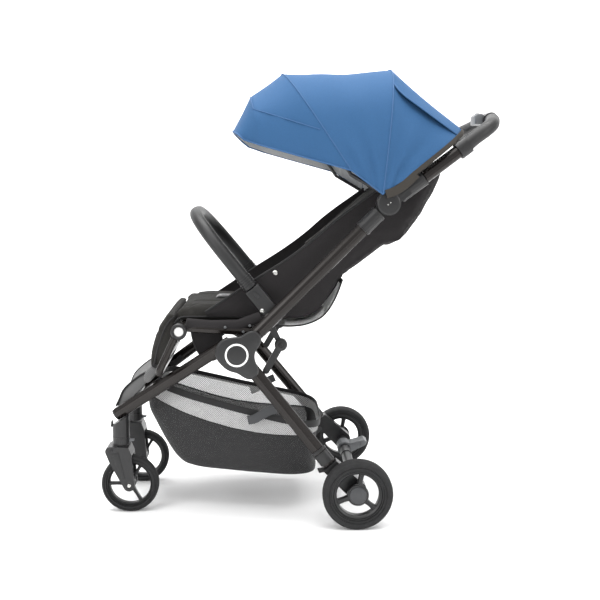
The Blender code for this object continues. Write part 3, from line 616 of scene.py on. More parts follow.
REAR_SIZE = {"outer": 0.075, "seat": 0.0558, "opening": 0.0452, "half": 0.016, "band": 0.0118,
             "hub": 0.0178, "spoke": 0.0112}
FRONT_SIZE = {"outer": 0.0635, "seat": 0.0524, "opening": 0.0450, "half": 0.014, "band": 0.0088,
              "hub": 0.0120, "spoke": 0.0072}
for label, side in SIDES.items():
    y = side * REAR_WHEEL_Y
    body = "rear_wheel_" + label
    make_wheel("rear", side, REAR_AXLE, y, REAR_SIZE, (80, 200, 320), body,
               ("rear_tyre_" + label, "rear_rim_" + label))
    lathed("rear_hub_cap_" + label, [(0.0, 0.0156), (0.0150, 0.0152), (0.0178, 0.0138),
                                     (0.0186, 0.0118), (0.0186, 0.0090)], REAR_AXLE, y,
           CAP_PLASTIC, body, side, 64)
    lathed("rear_hub_collar_" + label, [(0.0186, 0.0112), (0.0222, 0.0108), (0.0232, 0.0092),
                                        (0.0232, 0.0060), (0.0170, 0.0060)], REAR_AXLE, y,
           DARK_PLASTIC, body, side, 64)
    y = side * FRONT_WHEEL_Y
    body = "front_wheel_" + label
    make_wheel("front", side, FRONT_AXLE, y, FRONT_SIZE, (60, 180, 300), body,
               ("front_tyre_" + label, "front_rim_" + label))


# ---------------------------------------------------------------- casters and front suspension
# Each caster is a nylon yoke under the housing, with a sprung fork straddling its wheel.
for label, side in SIDES.items():
    y = side * FRONT_WHEEL_Y
    paint({"caster_fork_" + label: (PLASTIC, 0.0022), "caster_yoke_" + label: (PLASTIC, 0.0018),
           "caster_housing_" + label: (PLASTIC, 0.0016)})
    for out in (-1, 1):
        face = y + out * 0.0255
        screw(f"axle_screw_{label}_{out + 1}", (FRONT_AXLE[0], face, FRONT_AXLE[1]), out,
              "fork_" + label, 0.0048)
        lathed(f"axle_boss_{label}_{out + 1}", [(0.0052, 0.0012), (0.0088, 0.0010), (0.0098, 0.0),
                                               (0.0098, -0.0010)], FRONT_AXLE, face, PLASTIC,
               "fork_" + label, out, 40)
        screw(f"suspension_screw_{label}_{out + 1}", (-0.4245, face, 0.1465), out,
              "fork_" + label, 0.0050, PLASTIC)
    extruded(f"fork_web_{label}", [(-0.4240, 0.1360), (-0.4080, 0.1400), (-0.3950, 0.0800),
                                   (-0.4010, 0.0790)], y + side * 0.0252, y + side * 0.0266,
             DARK_PLASTIC, "fork_" + label, 0.0005)
    swept("caster_ring_" + label,
          [(-0.405 + 0.0183 * math.cos(t * math.pi / 24), y + 0.0183 * math.sin(t * math.pi / 24), 0.1708)
           for t in range(48)], section(0.0022, 0.0018, 8), DARK_PLASTIC, "front_legs",
          up=(0, 0, 1), closed=True)
    extruded("caster_lock_lever_" + label, [(-0.3905, 0.1560), (-0.3770, 0.1600), (-0.3760, 0.1640),
                                            (-0.3900, 0.1650)], y - 0.0045, y + 0.0045,
             GREY_PLASTIC, "caster_" + label, 0.0008)
    extruded("wheel_release_tab_" + label, [(-0.4275, 0.1930), (-0.4225, 0.1930), (-0.4225, 0.2060),
                                            (-0.4255, 0.2060)], y - 0.0060, y + 0.0060,
             DARK_PLASTIC, "front_legs", 0.0008)


# ---------------------------------------------------------------- legs, axle and brake
# Oval anodised tubes in nylon feet. The brake pedal turns on the bar between the rear wheels.
for label, side in SIDES.items():
    paint({"front_leg_" + label: (TUBE, 0.0012), "rear_leg_" + label: (TUBE, 0.0012),
           "rear_foot_" + label: (PLASTIC, 0.0), "back_tube_" + label: (TUBE, 0.0012)})
    leg_angle = math.atan2(0.131 - HUB[1], 0.052 - HUB[0])
    for index, (start, end, grow) in enumerate(((-0.0300, -0.0040, 1.0), (-0.0375, -0.0315, 1.05))):
        a, b = (at((0.052, 0.131), leg_angle, d) for d in (start, end))
        swept(f"rear_leg_sleeve_{index}_{label}",
              [(a[0], side * 0.1968, a[1]), (b[0], side * 0.1981, b[1])],
              section(0.0226 * grow, 0.0335 * grow, 32, 0.85), PLASTIC, "rear_legs", dome=0.0004)
    screw("rear_foot_screw_" + label, (0.068, side * 0.2150, 0.111), side, "rear_legs", 0.0042, DARK_PLASTIC)
    high = math.atan2(0.2212 - 0.3967, -0.412 + 0.158)
    tip = (-0.4125, side * 0.1045, 0.2205)
    swept("front_leg_cap_" + label, [tip, (tip[0] - 0.0035, tip[1] - side * 0.0013, tip[2] - 0.0024)],
          section(0.0170, 0.0262, 28, 0.9), DARK_PLASTIC, "front_legs", dome=0.0015)
paint({"rear_axle_bar": (PLASTIC, 0.0012), "front_crossbar": (PLASTIC, 0.0012),
       "brake_pedal": (GREY_PLASTIC, 0.0)})
for y in (-0.060, 0.060):
    swept(f"axle_clamp_{'left' if y < 0 else 'right'}",
          [(0.111, y - 0.012, 0.075), (0.111, y + 0.012, 0.075)],
          section(0.0270, 0.0270, 36), DARK_PLASTIC, "rear_legs", up=(1, 0, 0), dome=0.0006)
extruded("brake_pedal_cap", [(0.1500, 0.0830), (0.1645, 0.0868), (0.1660, 0.0930), (0.1585, 0.0975),
                             (0.1480, 0.0945)], 0.1035, 0.1465, GREY_PLASTIC, "brake", 0.0022)


# ---------------------------------------------------------------- side hubs
# Satin nylon housings, each with three blended arms over the tubes and a white ring round a cap.
def hub_outline():
    """A round disc that swells smoothly into three arms."""
    points = []
    for i in range(180):
        turn = 360 * i / 180
        reach = 0.0375
        for centre, length, half in ((-51.8, 0.0610, 26), (44.7, 0.0650, 25), (160.0, 0.0460, 42)):
            off = (turn - centre + 180) % 360 - 180
            reach += (length - 0.0375) * math.exp(-(abs(off / half) ** 2.6))
        points.append(at(HUB, math.radians(turn), reach))
    return points


for label, side in SIDES.items():
    low, high = sorted((side * 0.2152, side * 0.2262))
    housing = extruded("hub_cover_" + label, hub_outline(), low, high, PLASTIC, "back_frame", 0.0042)
    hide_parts("hub_housing_" + label)
    face = side * 0.2262
    ring = [(0.0208, 0.0), (0.0208, 0.0012), (0.0214, 0.0018), (0.0240, 0.0018), (0.0246, 0.0010),
            (0.0246, -0.0010)]
    lathed("hub_white_ring_" + label, ring, HUB, face, WHITE_RING, "back_frame", side, 96)
    cap = [(0.0, 0.0014), (0.0120, 0.0012), (0.0186, 0.0002), (0.0198, 0.0008), (0.0207, 0.0006),
           (0.0207, -0.0010)]
    lathed("hub_cap_" + label, cap, HUB, face, DARK_PLASTIC, "back_frame", side, 96)
    paint({"hub_plate_" + label: (DARK_PLASTIC, 0.0), "upper_link_" + label: (PLASTIC, 0.0008),
           "lower_link_" + label: (PLASTIC, 0.0008)})
    for index, spot in enumerate(((-0.168, 0.427), (-0.130, 0.417), (-0.116, 0.430))):
        screw(f"rail_rivet_{index}_{label}", (spot[0], side * 0.1915, spot[1]), side, "back_frame",
              0.0030, GREY_PLASTIC)
    swept("seat_rail_" + label, [(-0.092, side * 0.1800, 0.4480), (-0.140, side * 0.1795, 0.4300),
                                 (-0.200, side * 0.1790, 0.4290), (-0.250, side * 0.1790, 0.4330)],
          section(0.0150, 0.0235, 28, 0.75), SIDE_CLOTH, "back_frame", dome=0.003)
    screw("knee_screw_" + label, (-0.050, side * 0.1662, 0.384), side, "upper_links", 0.0056, DARK_PLASTIC)
    lathed("knee_cap_" + label, [(0.0056, 0.0006), (0.0120, 0.0004), (0.0136, -0.0006),
                                 (0.0136, -0.0040)], (-0.050, 0.384), side * 0.1664, PLASTIC,
           "upper_links", side, 48)


# ---------------------------------------------------------------- back tubes and handle joint
# Nylon sleeves over the tube ends, hinged at two big round discs, with a latch on each arm.
for label, side in SIDES.items():
    paint({"lower_sleeve_" + label: (PLASTIC, 0.0010), "upper_sleeve_" + label: (PLASTIC, 0.0010),
           "handle_tube_" + label: (TUBE, 0.0008)})
    face = side * 0.2128
    lathed("fold_disc_cap_" + label, [(0.0, 0.0010), (0.0200, 0.0010), (0.0230, 0.0004),
                                      (0.0248, -0.0014)], FOLD_DISC, face, PLASTIC, "handle", side, 72)
    for sign in (-1, 1):
        spot = at(FOLD_DISC, HANDLE_ANGLE, sign * 0.0034)
        lathed(f"fold_disc_dot_{sign + 1}_{label}", [(0.0, 0.0016), (0.0014, 0.0013), (0.0017, 0.0)],
               spot, face + side * 0.0008, STEEL, "handle", side, 16)
    for index, reach in enumerate((0.0300, 0.0870)):
        a = at(FOLD_DISC, HANDLE_ANGLE, reach)
        b = at(FOLD_DISC, HANDLE_ANGLE, reach + 0.0030)
        swept(f"upper_sleeve_rib_{index}_{label}", [(a[0], side * SIDE_Y, a[1]), (b[0], side * SIDE_Y, b[1])],
              section(0.0268, 0.0352, 32), DARK_PLASTIC, "handle", dome=0.0003)
    back = BACK_ANGLE + math.pi
    for index, reach in enumerate((0.0700, 0.0300)):
        a = at(FOLD_DISC, back, reach)
        b = at(FOLD_DISC, back, reach + 0.0035)
        swept(f"lower_sleeve_rib_{index}_{label}", [(a[0], side * SIDE_Y, a[1]), (b[0], side * SIDE_Y, b[1])],
              section(0.0270, 0.0356, 32), DARK_PLASTIC, "back_frame", dome=0.0003)
    y = side * 0.1985
    extruded("handle_latch_" + label,
             [(0.2010, 0.7195), (0.2040, 0.7260), (0.2135, 0.7385), (0.2200, 0.7400), (0.2330, 0.7340),
              (0.2420, 0.7420), (0.2405, 0.7330), (0.2250, 0.7190), (0.2120, 0.7110)],
             y - 0.0080, y + 0.0080, DARK_PLASTIC, "handle", 0.0014)
    a, b = at(FOLD_DISC, HANDLE_ANGLE, 0.1800), at(FOLD_DISC, HANDLE_ANGLE, 0.2060)
    swept("grip_collar_" + label, [(a[0], side * 0.1925, a[1]), (b[0], side * 0.1910, b[1])],
          section(0.0330, 0.0370, 36, 0.9), DARK_PLASTIC, "handle", dome=0.0008)


# ---------------------------------------------------------------- handle grip and fold button
# A bent tube under a foam cover, with a moulded housing in its middle for the fold button.
corner = at(FOLD_DISC, HANDLE_ANGLE, 0.1990)
half = [(corner[0], 0.1915, corner[1]), (0.3520, 0.1895, 0.8210), (0.3760, 0.1820, 0.8375),
        (0.3935, 0.1610, 0.8495), (0.4060, 0.1200, 0.8570), (0.4195, 0.0600, 0.8660)]
route = [(x, -y, z) for x, y, z in half] + [(0.4240, 0.0, 0.8690)]
route += [(x, y, z) for x, y, z in reversed(half)]
grip = swept("grip_cover", bezier(route, 8), section(0.0306, 0.0318, 32), FOAM, "handle",
             up=(-0.55, 0.0, 0.83), dome=0.001)
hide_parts("handle_grip")
housing_route = [(0.4185, -0.050, 0.8668), (0.4222, -0.036, 0.8690), (0.4240, -0.018, 0.8700),
                 (0.4243, 0.0, 0.8702), (0.4240, 0.018, 0.8700), (0.4222, 0.036, 0.8690),
                 (0.4185, 0.050, 0.8668)]
swept("button_housing", bezier(housing_route, 5), section(0.0328, 0.0342, 32, 0.85), DARK_PLASTIC,
      "handle", up=(-0.55, 0.0, 0.83), dome=0.0012)
button = extruded("fold_release_button",
                  [(0.3895, 0.8600), (0.3890, 0.8780), (0.3935, 0.8835), (0.4040, 0.8845),
                   (0.4110, 0.8800), (0.4115, 0.8660), (0.4050, 0.8590)], -0.0270, 0.0270,
                  GREY_PLASTIC, "fold_button", 0.0035)
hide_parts("fold_button")
extruded("fold_safety_slider", [(0.3945, 0.8830), (0.4025, 0.8838), (0.4025, 0.8862), (0.3950, 0.8856)],
         -0.0070, 0.0070, DARK_PLASTIC, "fold_button", 0.0008)


# ---------------------------------------------------------------- bumper bar
# A bent tube in a stitched foam cover, plugged into two sockets with ribbed release clips.
BUMPER_FOOT = (-0.070, 0.4565)
BUMPER_CORNER = (-0.2365, 0.6625)
BUMPER_Y = 0.1765
lean = math.atan2(BUMPER_CORNER[1] - BUMPER_FOOT[1], BUMPER_CORNER[0] - BUMPER_FOOT[0])
arm_start, arm_bend = at(BUMPER_FOOT, lean, 0.0690), at(BUMPER_FOOT, lean, 0.1150)
bend = []
for step in range(11):
    t = step / 10
    first = Vector((arm_bend[0], BUMPER_Y, arm_bend[1]))
    apex = Vector((BUMPER_CORNER[0], BUMPER_Y, BUMPER_CORNER[1]))
    last = Vector((BUMPER_CORNER[0], 0.0265, BUMPER_CORNER[1]))
    bend.append(first * (1 - t) ** 2 + apex * 2 * t * (1 - t) + last * t * t)
half = [Vector((arm_start[0], BUMPER_Y, arm_start[1]))] + bend
route = [Vector((p.x, -p.y, p.z)) for p in half] + [Vector((p.x, p.y, p.z)) for p in reversed(half)]
bar_line = bezier(route, 4)
bumper = swept("bumper_cover", bar_line, section(0.0286, 0.0286, 36), FOAM, "bumper", up=(1, 0, 0.6))
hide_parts("bumper_bar")
stitch_line = [p + Vector((0.0055, 0.0, 0.0132)).normalized() * 0.0141 for p in bar_line[6:-6]]
swept("bumper_seam", stitch_line, section(0.0016, 0.0010, 8), PIPING, "bumper", up=(0, 1, 0))
for label, side in SIDES.items():
    paint({"bumper_socket_" + label: (PLASTIC, 0.0030)})
    for index in range(5):
        a, b = at(BUMPER_FOOT, lean, 0.0715 + index * 0.0052), at(BUMPER_FOOT, lean, 0.0742 + index * 0.0052)
        swept(f"bumper_clip_rib_{index}_{label}",
              [(a[0], side * BUMPER_Y, a[1]), (b[0], side * BUMPER_Y, b[1])],
              section(0.0306, 0.0320, 32, 0.8), DARK_PLASTIC, "bumper", dome=0.0003)
    spot = at(BUMPER_FOOT, lean, 0.0500)
    extruded("bumper_release_button_" + label,
             [at(at(spot, lean, dx), lean + math.pi / 2, dz) for dx, dz in
              ((-0.0080, -0.0040), (0.0080, -0.0040), (0.0080, 0.0040), (-0.0080, 0.0040))],
             *sorted((side * 0.1860, side * 0.1886)), DARK_PLASTIC, "back_frame", 0.0008)
    screw("bracket_rivet_" + label, (-0.090, side * 0.1872, 0.461), side, "back_frame", 0.0044, STEEL)


# ---------------------------------------------------------------- padded seat, backrest and leg rest
# Melange polyester sewn over wadding on thin boards, with bound edges and pulled-in seams.
def pad_shape(name, outline, half_width, body, node, mat=SEAT_CLOTH):
    """A pad with its profile in XZ and its length along Y, ready to be stuffed."""
    shape = bmesh.new()
    ring = [shape.verts.new((x, -half_width, z)) for x, z in outline]
    shape.faces.new(ring)
    made = bmesh.ops.extrude_face_region(shape, geom=list(shape.faces))
    moved = [v for v in made["geom"] if isinstance(v, bmesh.types.BMVert)]
    bmesh.ops.translate(shape, verts=moved, vec=(0, 2 * half_width, 0))
    pad = linked(name, shape, mat, None, 180)
    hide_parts(node)
    return pad


def remeshed(pad, grain_size):
    """An even grid over the pad, for stuffing."""
    mod = pad.modifiers.new("even_grid", "REMESH")
    mod.mode = "VOXEL"
    mod.voxel_size = grain_size
    settle(pad)


def settle(pad):
    """Make the pad's evaluated shape its own mesh."""
    graph = bpy.context.evaluated_depsgraph_get()
    graph.update()
    shaped = bpy.data.meshes.new_from_object(pad.evaluated_get(graph))
    shaped.name = pad.name
    pad.modifiers.clear()
    pad.data = shaped
    shaped.shade_smooth()


def stuff(pad, cap, pinned, pressure=4.0, frames=12):
    """Blow the pad up a little as wadding does, held at its seams, and never past the cap."""
    before = [v.co.copy() for v in pad.data.vertices]
    group = pad.vertex_groups.new(name="seams")
    held = [v.index for v in pad.data.vertices if pinned(v.co)]
    if held:
        group.add(held, 1.0, "REPLACE")
    mod = pad.modifiers.new("wadding", "CLOTH")
    mod.settings.quality = 5
    mod.settings.mass = 0.25
    mod.settings.tension_stiffness = 12
    mod.settings.compression_stiffness = 12
    mod.settings.shear_stiffness = 6
    mod.settings.bending_stiffness = 0.6
    mod.settings.use_pressure = True
    mod.settings.uniform_pressure_force = pressure
    mod.settings.vertex_group_mass = "seams"
    mod.settings.effector_weights.gravity = 0.0
    mod.collision_settings.use_collision = False
    mod.point_cache.frame_start = 1
    mod.point_cache.frame_end = frames
    scene = bpy.context.scene
    for step in range(1, frames + 1):
        scene.frame_set(step)
    settle(pad)
    for vert, start in zip(pad.data.vertices, before):
        move = vert.co - start
        if move.length > cap:
            vert.co = start + move.normalized() * cap
    scene.frame_set(1)
    pad.vertex_groups.clear()


def quilt(pad, lines, depth, width):
    """Pull the pad in along its stitch lines: (axis, place, where) with a soft valley each side."""
    normals = [v.normal.copy() for v in pad.data.vertices]
    for vert, normal in zip(pad.data.vertices, normals):
        pull = 0.0
        for axis, place, where in lines:
            if where(vert.co):
                pull = max(pull, math.exp(-(((vert.co[axis] - place) / width) ** 2)))
        vert.co -= normal * depth * pull


seat = pad_shape("seat_cushion", [(-0.268, 0.4365), (-0.2760, 0.4510), (-0.266, 0.4600), (-0.232, 0.4650),
                                  (-0.180, 0.4640), (-0.104, 0.4580), (-0.096, 0.4365)], 0.148,
                 "back_frame", "seat_pad")
remeshed(seat, 0.0045)
stuff(seat, 0.0040, lambda p: p.z < 0.4400)
quilt(seat, [(1, -0.060, lambda p: p.z > 0.448), (1, 0.060, lambda p: p.z > 0.448),
             (0, -0.250, lambda p: p.z > 0.448)], 0.0028, 0.0045)
cloth_uv(seat)
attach(seat, "back_frame")

back = pad_shape("backrest_pad", [(-0.0925, 0.4580), (-0.0850, 0.4900), (0.0520, 0.6110), (0.1530, 0.6990),
                                  (0.2640, 0.7740), (0.3020, 0.7760), (0.2960, 0.7550), (0.2540, 0.6700),
                                  (0.2080, 0.6060), (0.1700, 0.6000), (0.1200, 0.5640), (0.0820, 0.5350),
                                  (0.0480, 0.4800), (0.0250, 0.4550), (-0.0100, 0.4400),
                                  (-0.0600, 0.4380)], 0.144, "backrest", "backrest")
remeshed(back, 0.0060)
stuff(back, 0.0055, lambda p: False, 3.0)


def front_of_back(p):
    """Whether a point of the backrest lies on the child's side."""
    return p.z > 0.447 + (p.x + 0.095) * 0.90 + 0.006


quilt(back, [(1, -0.055, front_of_back), (1, 0.055, front_of_back), (1, -0.110, front_of_back),
             (1, 0.110, front_of_back)], 0.0030, 0.0050)
for vert in back.data.vertices:
    if not front_of_back(vert.co):
        ripple = noise.noise(Vector((vert.co.x * 26, vert.co.y * 9, vert.co.z * 26)))
        vert.co += vert.normal * 0.0032 * ripple
back.data.materials.append(SIDE_CLOTH)
for face in back.data.polygons:
    if not front_of_back(face.center):
        face.material_index = 1
cloth_uv(back)
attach(back, "backrest")

# A net storage pocket stitched under the back of the seat, with bound edges.
pocket_line = [(-0.0620, 0.4240), (-0.0300, 0.4215), (0.0080, 0.4265), (0.0420, 0.4440),
               (0.0660, 0.4780), (0.0820, 0.5180)]
pocket_rows = []
for spot in bezier([(x, 0.0, z) for x, z in pocket_line], 6):
    row = []
    for i in range(25):
        y = -0.143 + 0.286 * i / 24
        belly = 0.004 * math.cos(y / 0.143 * math.pi / 2)
        row.append(Vector((spot.x + 0.5 * belly, y, spot.z - belly)))
    pocket_rows.append(row)
pocket = cloth_shell("back_pocket_net", pocket_rows, WINDOW_MESH, WINDOW_MESH, 0.0010)
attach(pocket, "backrest")
for label, column in (("left", 0), ("right", -1)):
    swept("pocket_binding_" + label, [row[column] for row in pocket_rows],
          section(0.0040, 0.0040, 10), PIPING, "backrest")
for label, row in (("front", pocket_rows[0]), ("rear", pocket_rows[-1])):
    swept("pocket_hem_" + label, row, section(0.0100, 0.0030, 12, 0.6), SIDE_CLOTH, "backrest",
          up=(0.5, 0, 0.8))

leg_pad = pad_shape("leg_rest_cover", [(-0.2780, 0.4300), (-0.2780, 0.4500), (-0.2900, 0.4520),
                                       (-0.3120, 0.4200), (-0.3250, 0.3780), (-0.3300, 0.3480),
                                       (-0.3310, 0.3360), (-0.3140, 0.3330), (-0.2960, 0.3480),
                                       (-0.2880, 0.3720), (-0.2790, 0.4080)], 0.152, "leg_rest",
                    "leg_rest_pad")
remeshed(leg_pad, 0.0042)
stuff(leg_pad, 0.0030, lambda p: p.z < 0.3400)
quilt(leg_pad, [(2, 0.412, lambda p: True)], 0.0020, 0.0040)
cloth_uv(leg_pad)
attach(leg_pad, "leg_rest")
calf_roll = pad_shape("leg_rest_net_roll", [(-0.3290, 0.3370), (-0.3385, 0.3290), (-0.3470, 0.3150),
                                            (-0.3475, 0.3040), (-0.3410, 0.2980), (-0.3320, 0.3030),
                                            (-0.3190, 0.3220), (-0.3150, 0.3340)], 0.151, "leg_rest",
                      "leg_rest_pad", SILVER_CLOTH)
remeshed(calf_roll, 0.0040)
stuff(calf_roll, 0.0020, lambda p: p.z > 0.3300)
cloth_uv(calf_roll)
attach(calf_roll, "leg_rest")

# Bound edges down both sides of the pads.
for label, side in SIDES.items():
    line = [(-0.2790, side * 0.1495, 0.4300), (-0.2640, side * 0.1515, 0.4430),
            (-0.2300, side * 0.1515, 0.4440), (-0.1700, side * 0.1515, 0.4440),
            (-0.1100, side * 0.1515, 0.4430)]
    swept("seat_piping_" + label, bezier(line, 6), section(0.0036, 0.0036, 10), PIPING, "back_frame")
    line = [(-0.2790, side * 0.1530, 0.4450), (-0.2960, side * 0.1540, 0.4250),
            (-0.3120, side * 0.1540, 0.3850), (-0.3200, side * 0.1540, 0.3550),
            (-0.3240, side * 0.1535, 0.3400)]
    swept("leg_rest_piping_" + label, bezier(line, 6), section(0.0036, 0.0036, 10), PIPING, "leg_rest")
    line = [(-0.0850, side * 0.1450, 0.4910), (0.0510, side * 0.1455, 0.6120),
            (0.1520, side * 0.1455, 0.7000), (0.2620, side * 0.1450, 0.7750)]
    swept("backrest_piping_" + label, bezier(line, 8), section(0.0036, 0.0036, 10), PIPING, "backrest")
swept("leg_rest_dark_band", [(-0.3215, -0.1525, 0.3370), (-0.3215, 0.0, 0.3370), (-0.3215, 0.1525, 0.3370)],
      section(0.0075, 0.0150, 16, 0.7), PIPING, "leg_rest", up=(0.4, 0.0, 0.9))


# ---------------------------------------------------------------- side wings and under-seat cloth
# Oxford cloth laced between the seat rails and the backrest, with a bound upper edge.
WING_EDGE = [(-0.212, 0.455), (-0.154, 0.493), (-0.107, 0.524), (-0.051, 0.559), (-0.009, 0.588),
             (0.023, 0.613), (0.055, 0.641), (0.087, 0.666), (0.124, 0.692), (0.158, 0.716)]
WING_FOOT = [(-0.208, 0.446), (-0.160, 0.446), (-0.118, 0.447), (-0.080, 0.449), (-0.030, 0.488),
             (0.005, 0.520), (0.035, 0.550), (0.070, 0.590), (0.110, 0.636), (0.160, 0.690)]
for label, side in SIDES.items():
    rows = []
    edge = bezier([(x, side * 0.1575, z) for x, z in WING_EDGE], 6)
    foot = bezier([(x, side * 0.1565, z) for x, z in WING_FOOT], 6)
    for step in range(13):
        t = step / 12
        row = []
        for low, high in zip(foot, edge):
            place = low.lerp(high, t)
            ripple = noise.noise(Vector((place.x * 20, t * 2.0, 3.0 * side)))
            place.y += side * (0.0016 * math.sin(math.pi * t) + 0.0022 * ripple * math.sin(math.pi * t))
            row.append(place)
        rows.append(row)
    wing = cloth_shell("side_wing_" + label, rows, SIDE_CLOTH, SIDE_CLOTH, 0.0022)
    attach(wing, "back_frame")
    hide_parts("side_panel_" + label)
    swept("wing_piping_" + label, edge, section(0.0042, 0.0042, 12), PIPING, "back_frame")
    screw("wing_snap_" + label, (-0.062, side * 0.1600, 0.539), side, "back_frame", 0.0052, STEEL)
    drop = [(-0.243, 0.424), (-0.185, 0.424), (-0.176, 0.398), (-0.181, 0.369), (-0.191, 0.352),
            (-0.213, 0.353), (-0.231, 0.373), (-0.240, 0.400)]
    skirt = extruded("seat_skirt_" + label, drop, *sorted((side * 0.1585, side * 0.1605)), SIDE_CLOTH,
                     "back_frame", 0.0006)
    cloth_uv(skirt)
    swept("seat_skirt_piping_" + label,
          bezier([(x, side * 0.1600, z) for x, z in drop[1:] + drop[:1]], 5),
          section(0.0032, 0.0032, 10), PIPING, "back_frame")
sling = []
for step in range(9):
    t = step / 8
    row = []
    for i in range(25):
        y = -0.162 + 0.324 * i / 24
        sag = 0.016 * math.cos(y / 0.162 * math.pi / 2)
        row.append(Vector((-0.246 + 0.146 * t, y, 0.4300 - 0.004 * t - sag)))
    sling.append(row)
hammock = cloth_shell("seat_sling", sling, SIDE_CLOTH, SIDE_CLOTH, 0.0016)
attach(hammock, "back_frame")
paint({"seat_frame": (TUBE, 0.0)})


# ---------------------------------------------------------------- leg rest frame and foot panel
# A bent tube hinged at two open rings beside the seat, and a stretched grey net between the legs.
HINGE = (-0.265, 0.419)
for label, side in SIDES.items():
    y = side * 0.1975
    ring = [(0.0106, -0.0060), (0.0106, 0.0060), (0.0118, 0.0074), (0.0158, 0.0074), (0.0170, 0.0060),
            (0.0170, -0.0060), (0.0158, -0.0074), (0.0118, -0.0074), (0.0106, -0.0060)]
    lathed("leg_rest_ring_" + label, ring, HINGE, y, PLASTIC, "leg_rest", side, 64)
    lathed("leg_rest_bush_" + label, [(0.0, 0.0030), (0.0095, 0.0030), (0.0104, 0.0022), (0.0104, -0.0040)],
           HINGE, y, WHITE_RING, "leg_rest", side, 48)
path = [(-0.2745, -0.1975, 0.4045), (-0.3040, -0.1975, 0.3420), (-0.3080, -0.1900, 0.3320),
        (-0.3085, -0.1700, 0.3295), (-0.3085, 0.0, 0.3290)]
path = bezier(path, 6)
path += [Vector((p.x, -p.y, p.z)) for p in reversed(path[:-1])]
strut = swept("leg_rest_tube", path, section(0.0160, 0.0160, 24), TUBE, "leg_rest", up=(0.9, 0, -0.43))
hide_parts("leg_rest_frame")
profile = [(-0.354, 0.3090), (-0.366, 0.3020), (-0.385, 0.2870), (-0.400, 0.2710), (-0.410, 0.2490),
           (-0.416, 0.2370)]
rows = []
for spot in bezier([(x, 0.0, z) for x, z in profile], 5):
    row = []
    for i in range(25):
        y = -0.094 + 0.188 * i / 24
        belly = math.cos(y / 0.094 * math.pi / 2)
        row.append(Vector((spot.x + 0.004 * belly, y, spot.z - 0.003 * belly)))
    rows.append(row)
foot = cloth_shell("foot_panel_net", rows, SILVER_CLOTH, SIDE_CLOTH, 0.0022)
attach(foot, "front_legs")
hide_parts("foot_panel")
for label, row in (("upper", rows[0]), ("lower", rows[-1])):
    swept("foot_panel_binding_" + label, row, section(0.0048, 0.0048, 12), PIPING, "front_legs",
          up=(0, 0, 1))
for label, column in (("left", 0), ("right", -1)):
    swept("foot_panel_edge_" + label, [row[column] for row in rows], section(0.0048, 0.0048, 12),
          PIPING, "front_legs")
for label, side in SIDES.items():
    inner, outer = sorted((side * 0.0905, side * 0.0930))
    extruded("foot_panel_cheek_" + label, profile + [(-0.4020, 0.2330), (-0.3420, 0.2950)], inner, outer,
             SILVER_CLOTH, "front_legs", 0.0006)


# ---------------------------------------------------------------- basket
# A sling of black knitted mesh under a band of open net, hemmed with webbing and tied to the legs.
def basket_row(key, share):
    """One closed line round the basket: key picks its level, share runs round it from 0 to 1."""
    front, rear, front_y, rear_y, lift = key
    turn = 2 * math.pi * share
    c, s = math.cos(turn), math.sin(turn)
    u = math.copysign(abs(c) ** 0.42, c)
    v = math.copysign(abs(s) ** 0.42, s)
    t = (1 - u) / 2
    x = rear[0] + (front[0] - rear[0]) * t
    z = rear[1] + (front[1] - rear[1]) * t + lift * math.sin(math.pi * t)
    half_width = rear_y + (front_y - rear_y) * t
    return Vector((x, v * half_width, z))


LEVELS = [((-0.110, 0.0905), (-0.100, 0.0905), 0.001, 0.001, 0.0),
          ((-0.190, 0.0925), (-0.040, 0.0855), 0.050, 0.060, 0.0),
          ((-0.262, 0.0985), (0.022, 0.0820), 0.098, 0.130, -0.0010),
          ((-0.286, 0.1120), (0.031, 0.0900), 0.110, 0.143, -0.0020),
          ((-0.310, 0.1480), (0.028, 0.1080), 0.115, 0.148, -0.0040),
          ((-0.334, 0.1950), (0.030, 0.1370), 0.117, 0.151, -0.0080),
          ((-0.349, 0.2300), (0.033, 0.1700), 0.117, 0.154, -0.0150)]
SCOOP = ((-0.347, 0.2620), (0.035, 0.1760), 0.117, 0.155, -0.0260)
HEM = ((-0.324, 0.2860), (0.040, 0.1960), 0.117, 0.158, -0.0040)
AROUND = 160


def basket_point(levels, j, share):
    place = basket_row(levels[j], share)
    crease = noise.noise(Vector((place.x * 22, place.y * 14, place.z * 8)))
    out = Vector((0.0, place.y, 0.0))
    if out.length > 0.02:
        place += out.normalized() * 0.0028 * crease
    return place


def basket_skin(name, levels, mat, smooth_angle=60):
    rows = []
    for j in range(len(levels)):
        rows.append([basket_point(levels, j, i / AROUND) for i in range(AROUND)])
    fine = []
    for j in range(len(rows) - 1):
        before, here = rows[max(j - 1, 0)], rows[j]
        there, after = rows[j + 1], rows[min(j + 2, len(rows) - 1)]
        for step in range(4):
            t = step / 4
            fine.append([0.5 * ((2 * b) + (c - a) * t + (2 * a - 5 * b + 4 * c - d) * t * t
                                + (3 * b - a - 3 * c + d) * t ** 3)
                         for a, b, c, d in zip(before, here, there, after)])
    fine.append(rows[-1])
    shape = bmesh.new()
    grid = [[shape.verts.new(p) for p in row] for row in fine]
    for low, high in zip(grid, grid[1:]):
        for i in range(AROUND):
            shape.faces.new((low[i], low[(i + 1) % AROUND], high[(i + 1) % AROUND], high[i]))
    bmesh.ops.recalc_face_normals(shape, faces=shape.faces)
    bmesh.ops.solidify(shape, geom=list(shape.faces), thickness=0.0009)
    skin = cloth_uv(linked(name, shape, mat, None, smooth_angle))
    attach(skin, "rear_legs")
    return skin


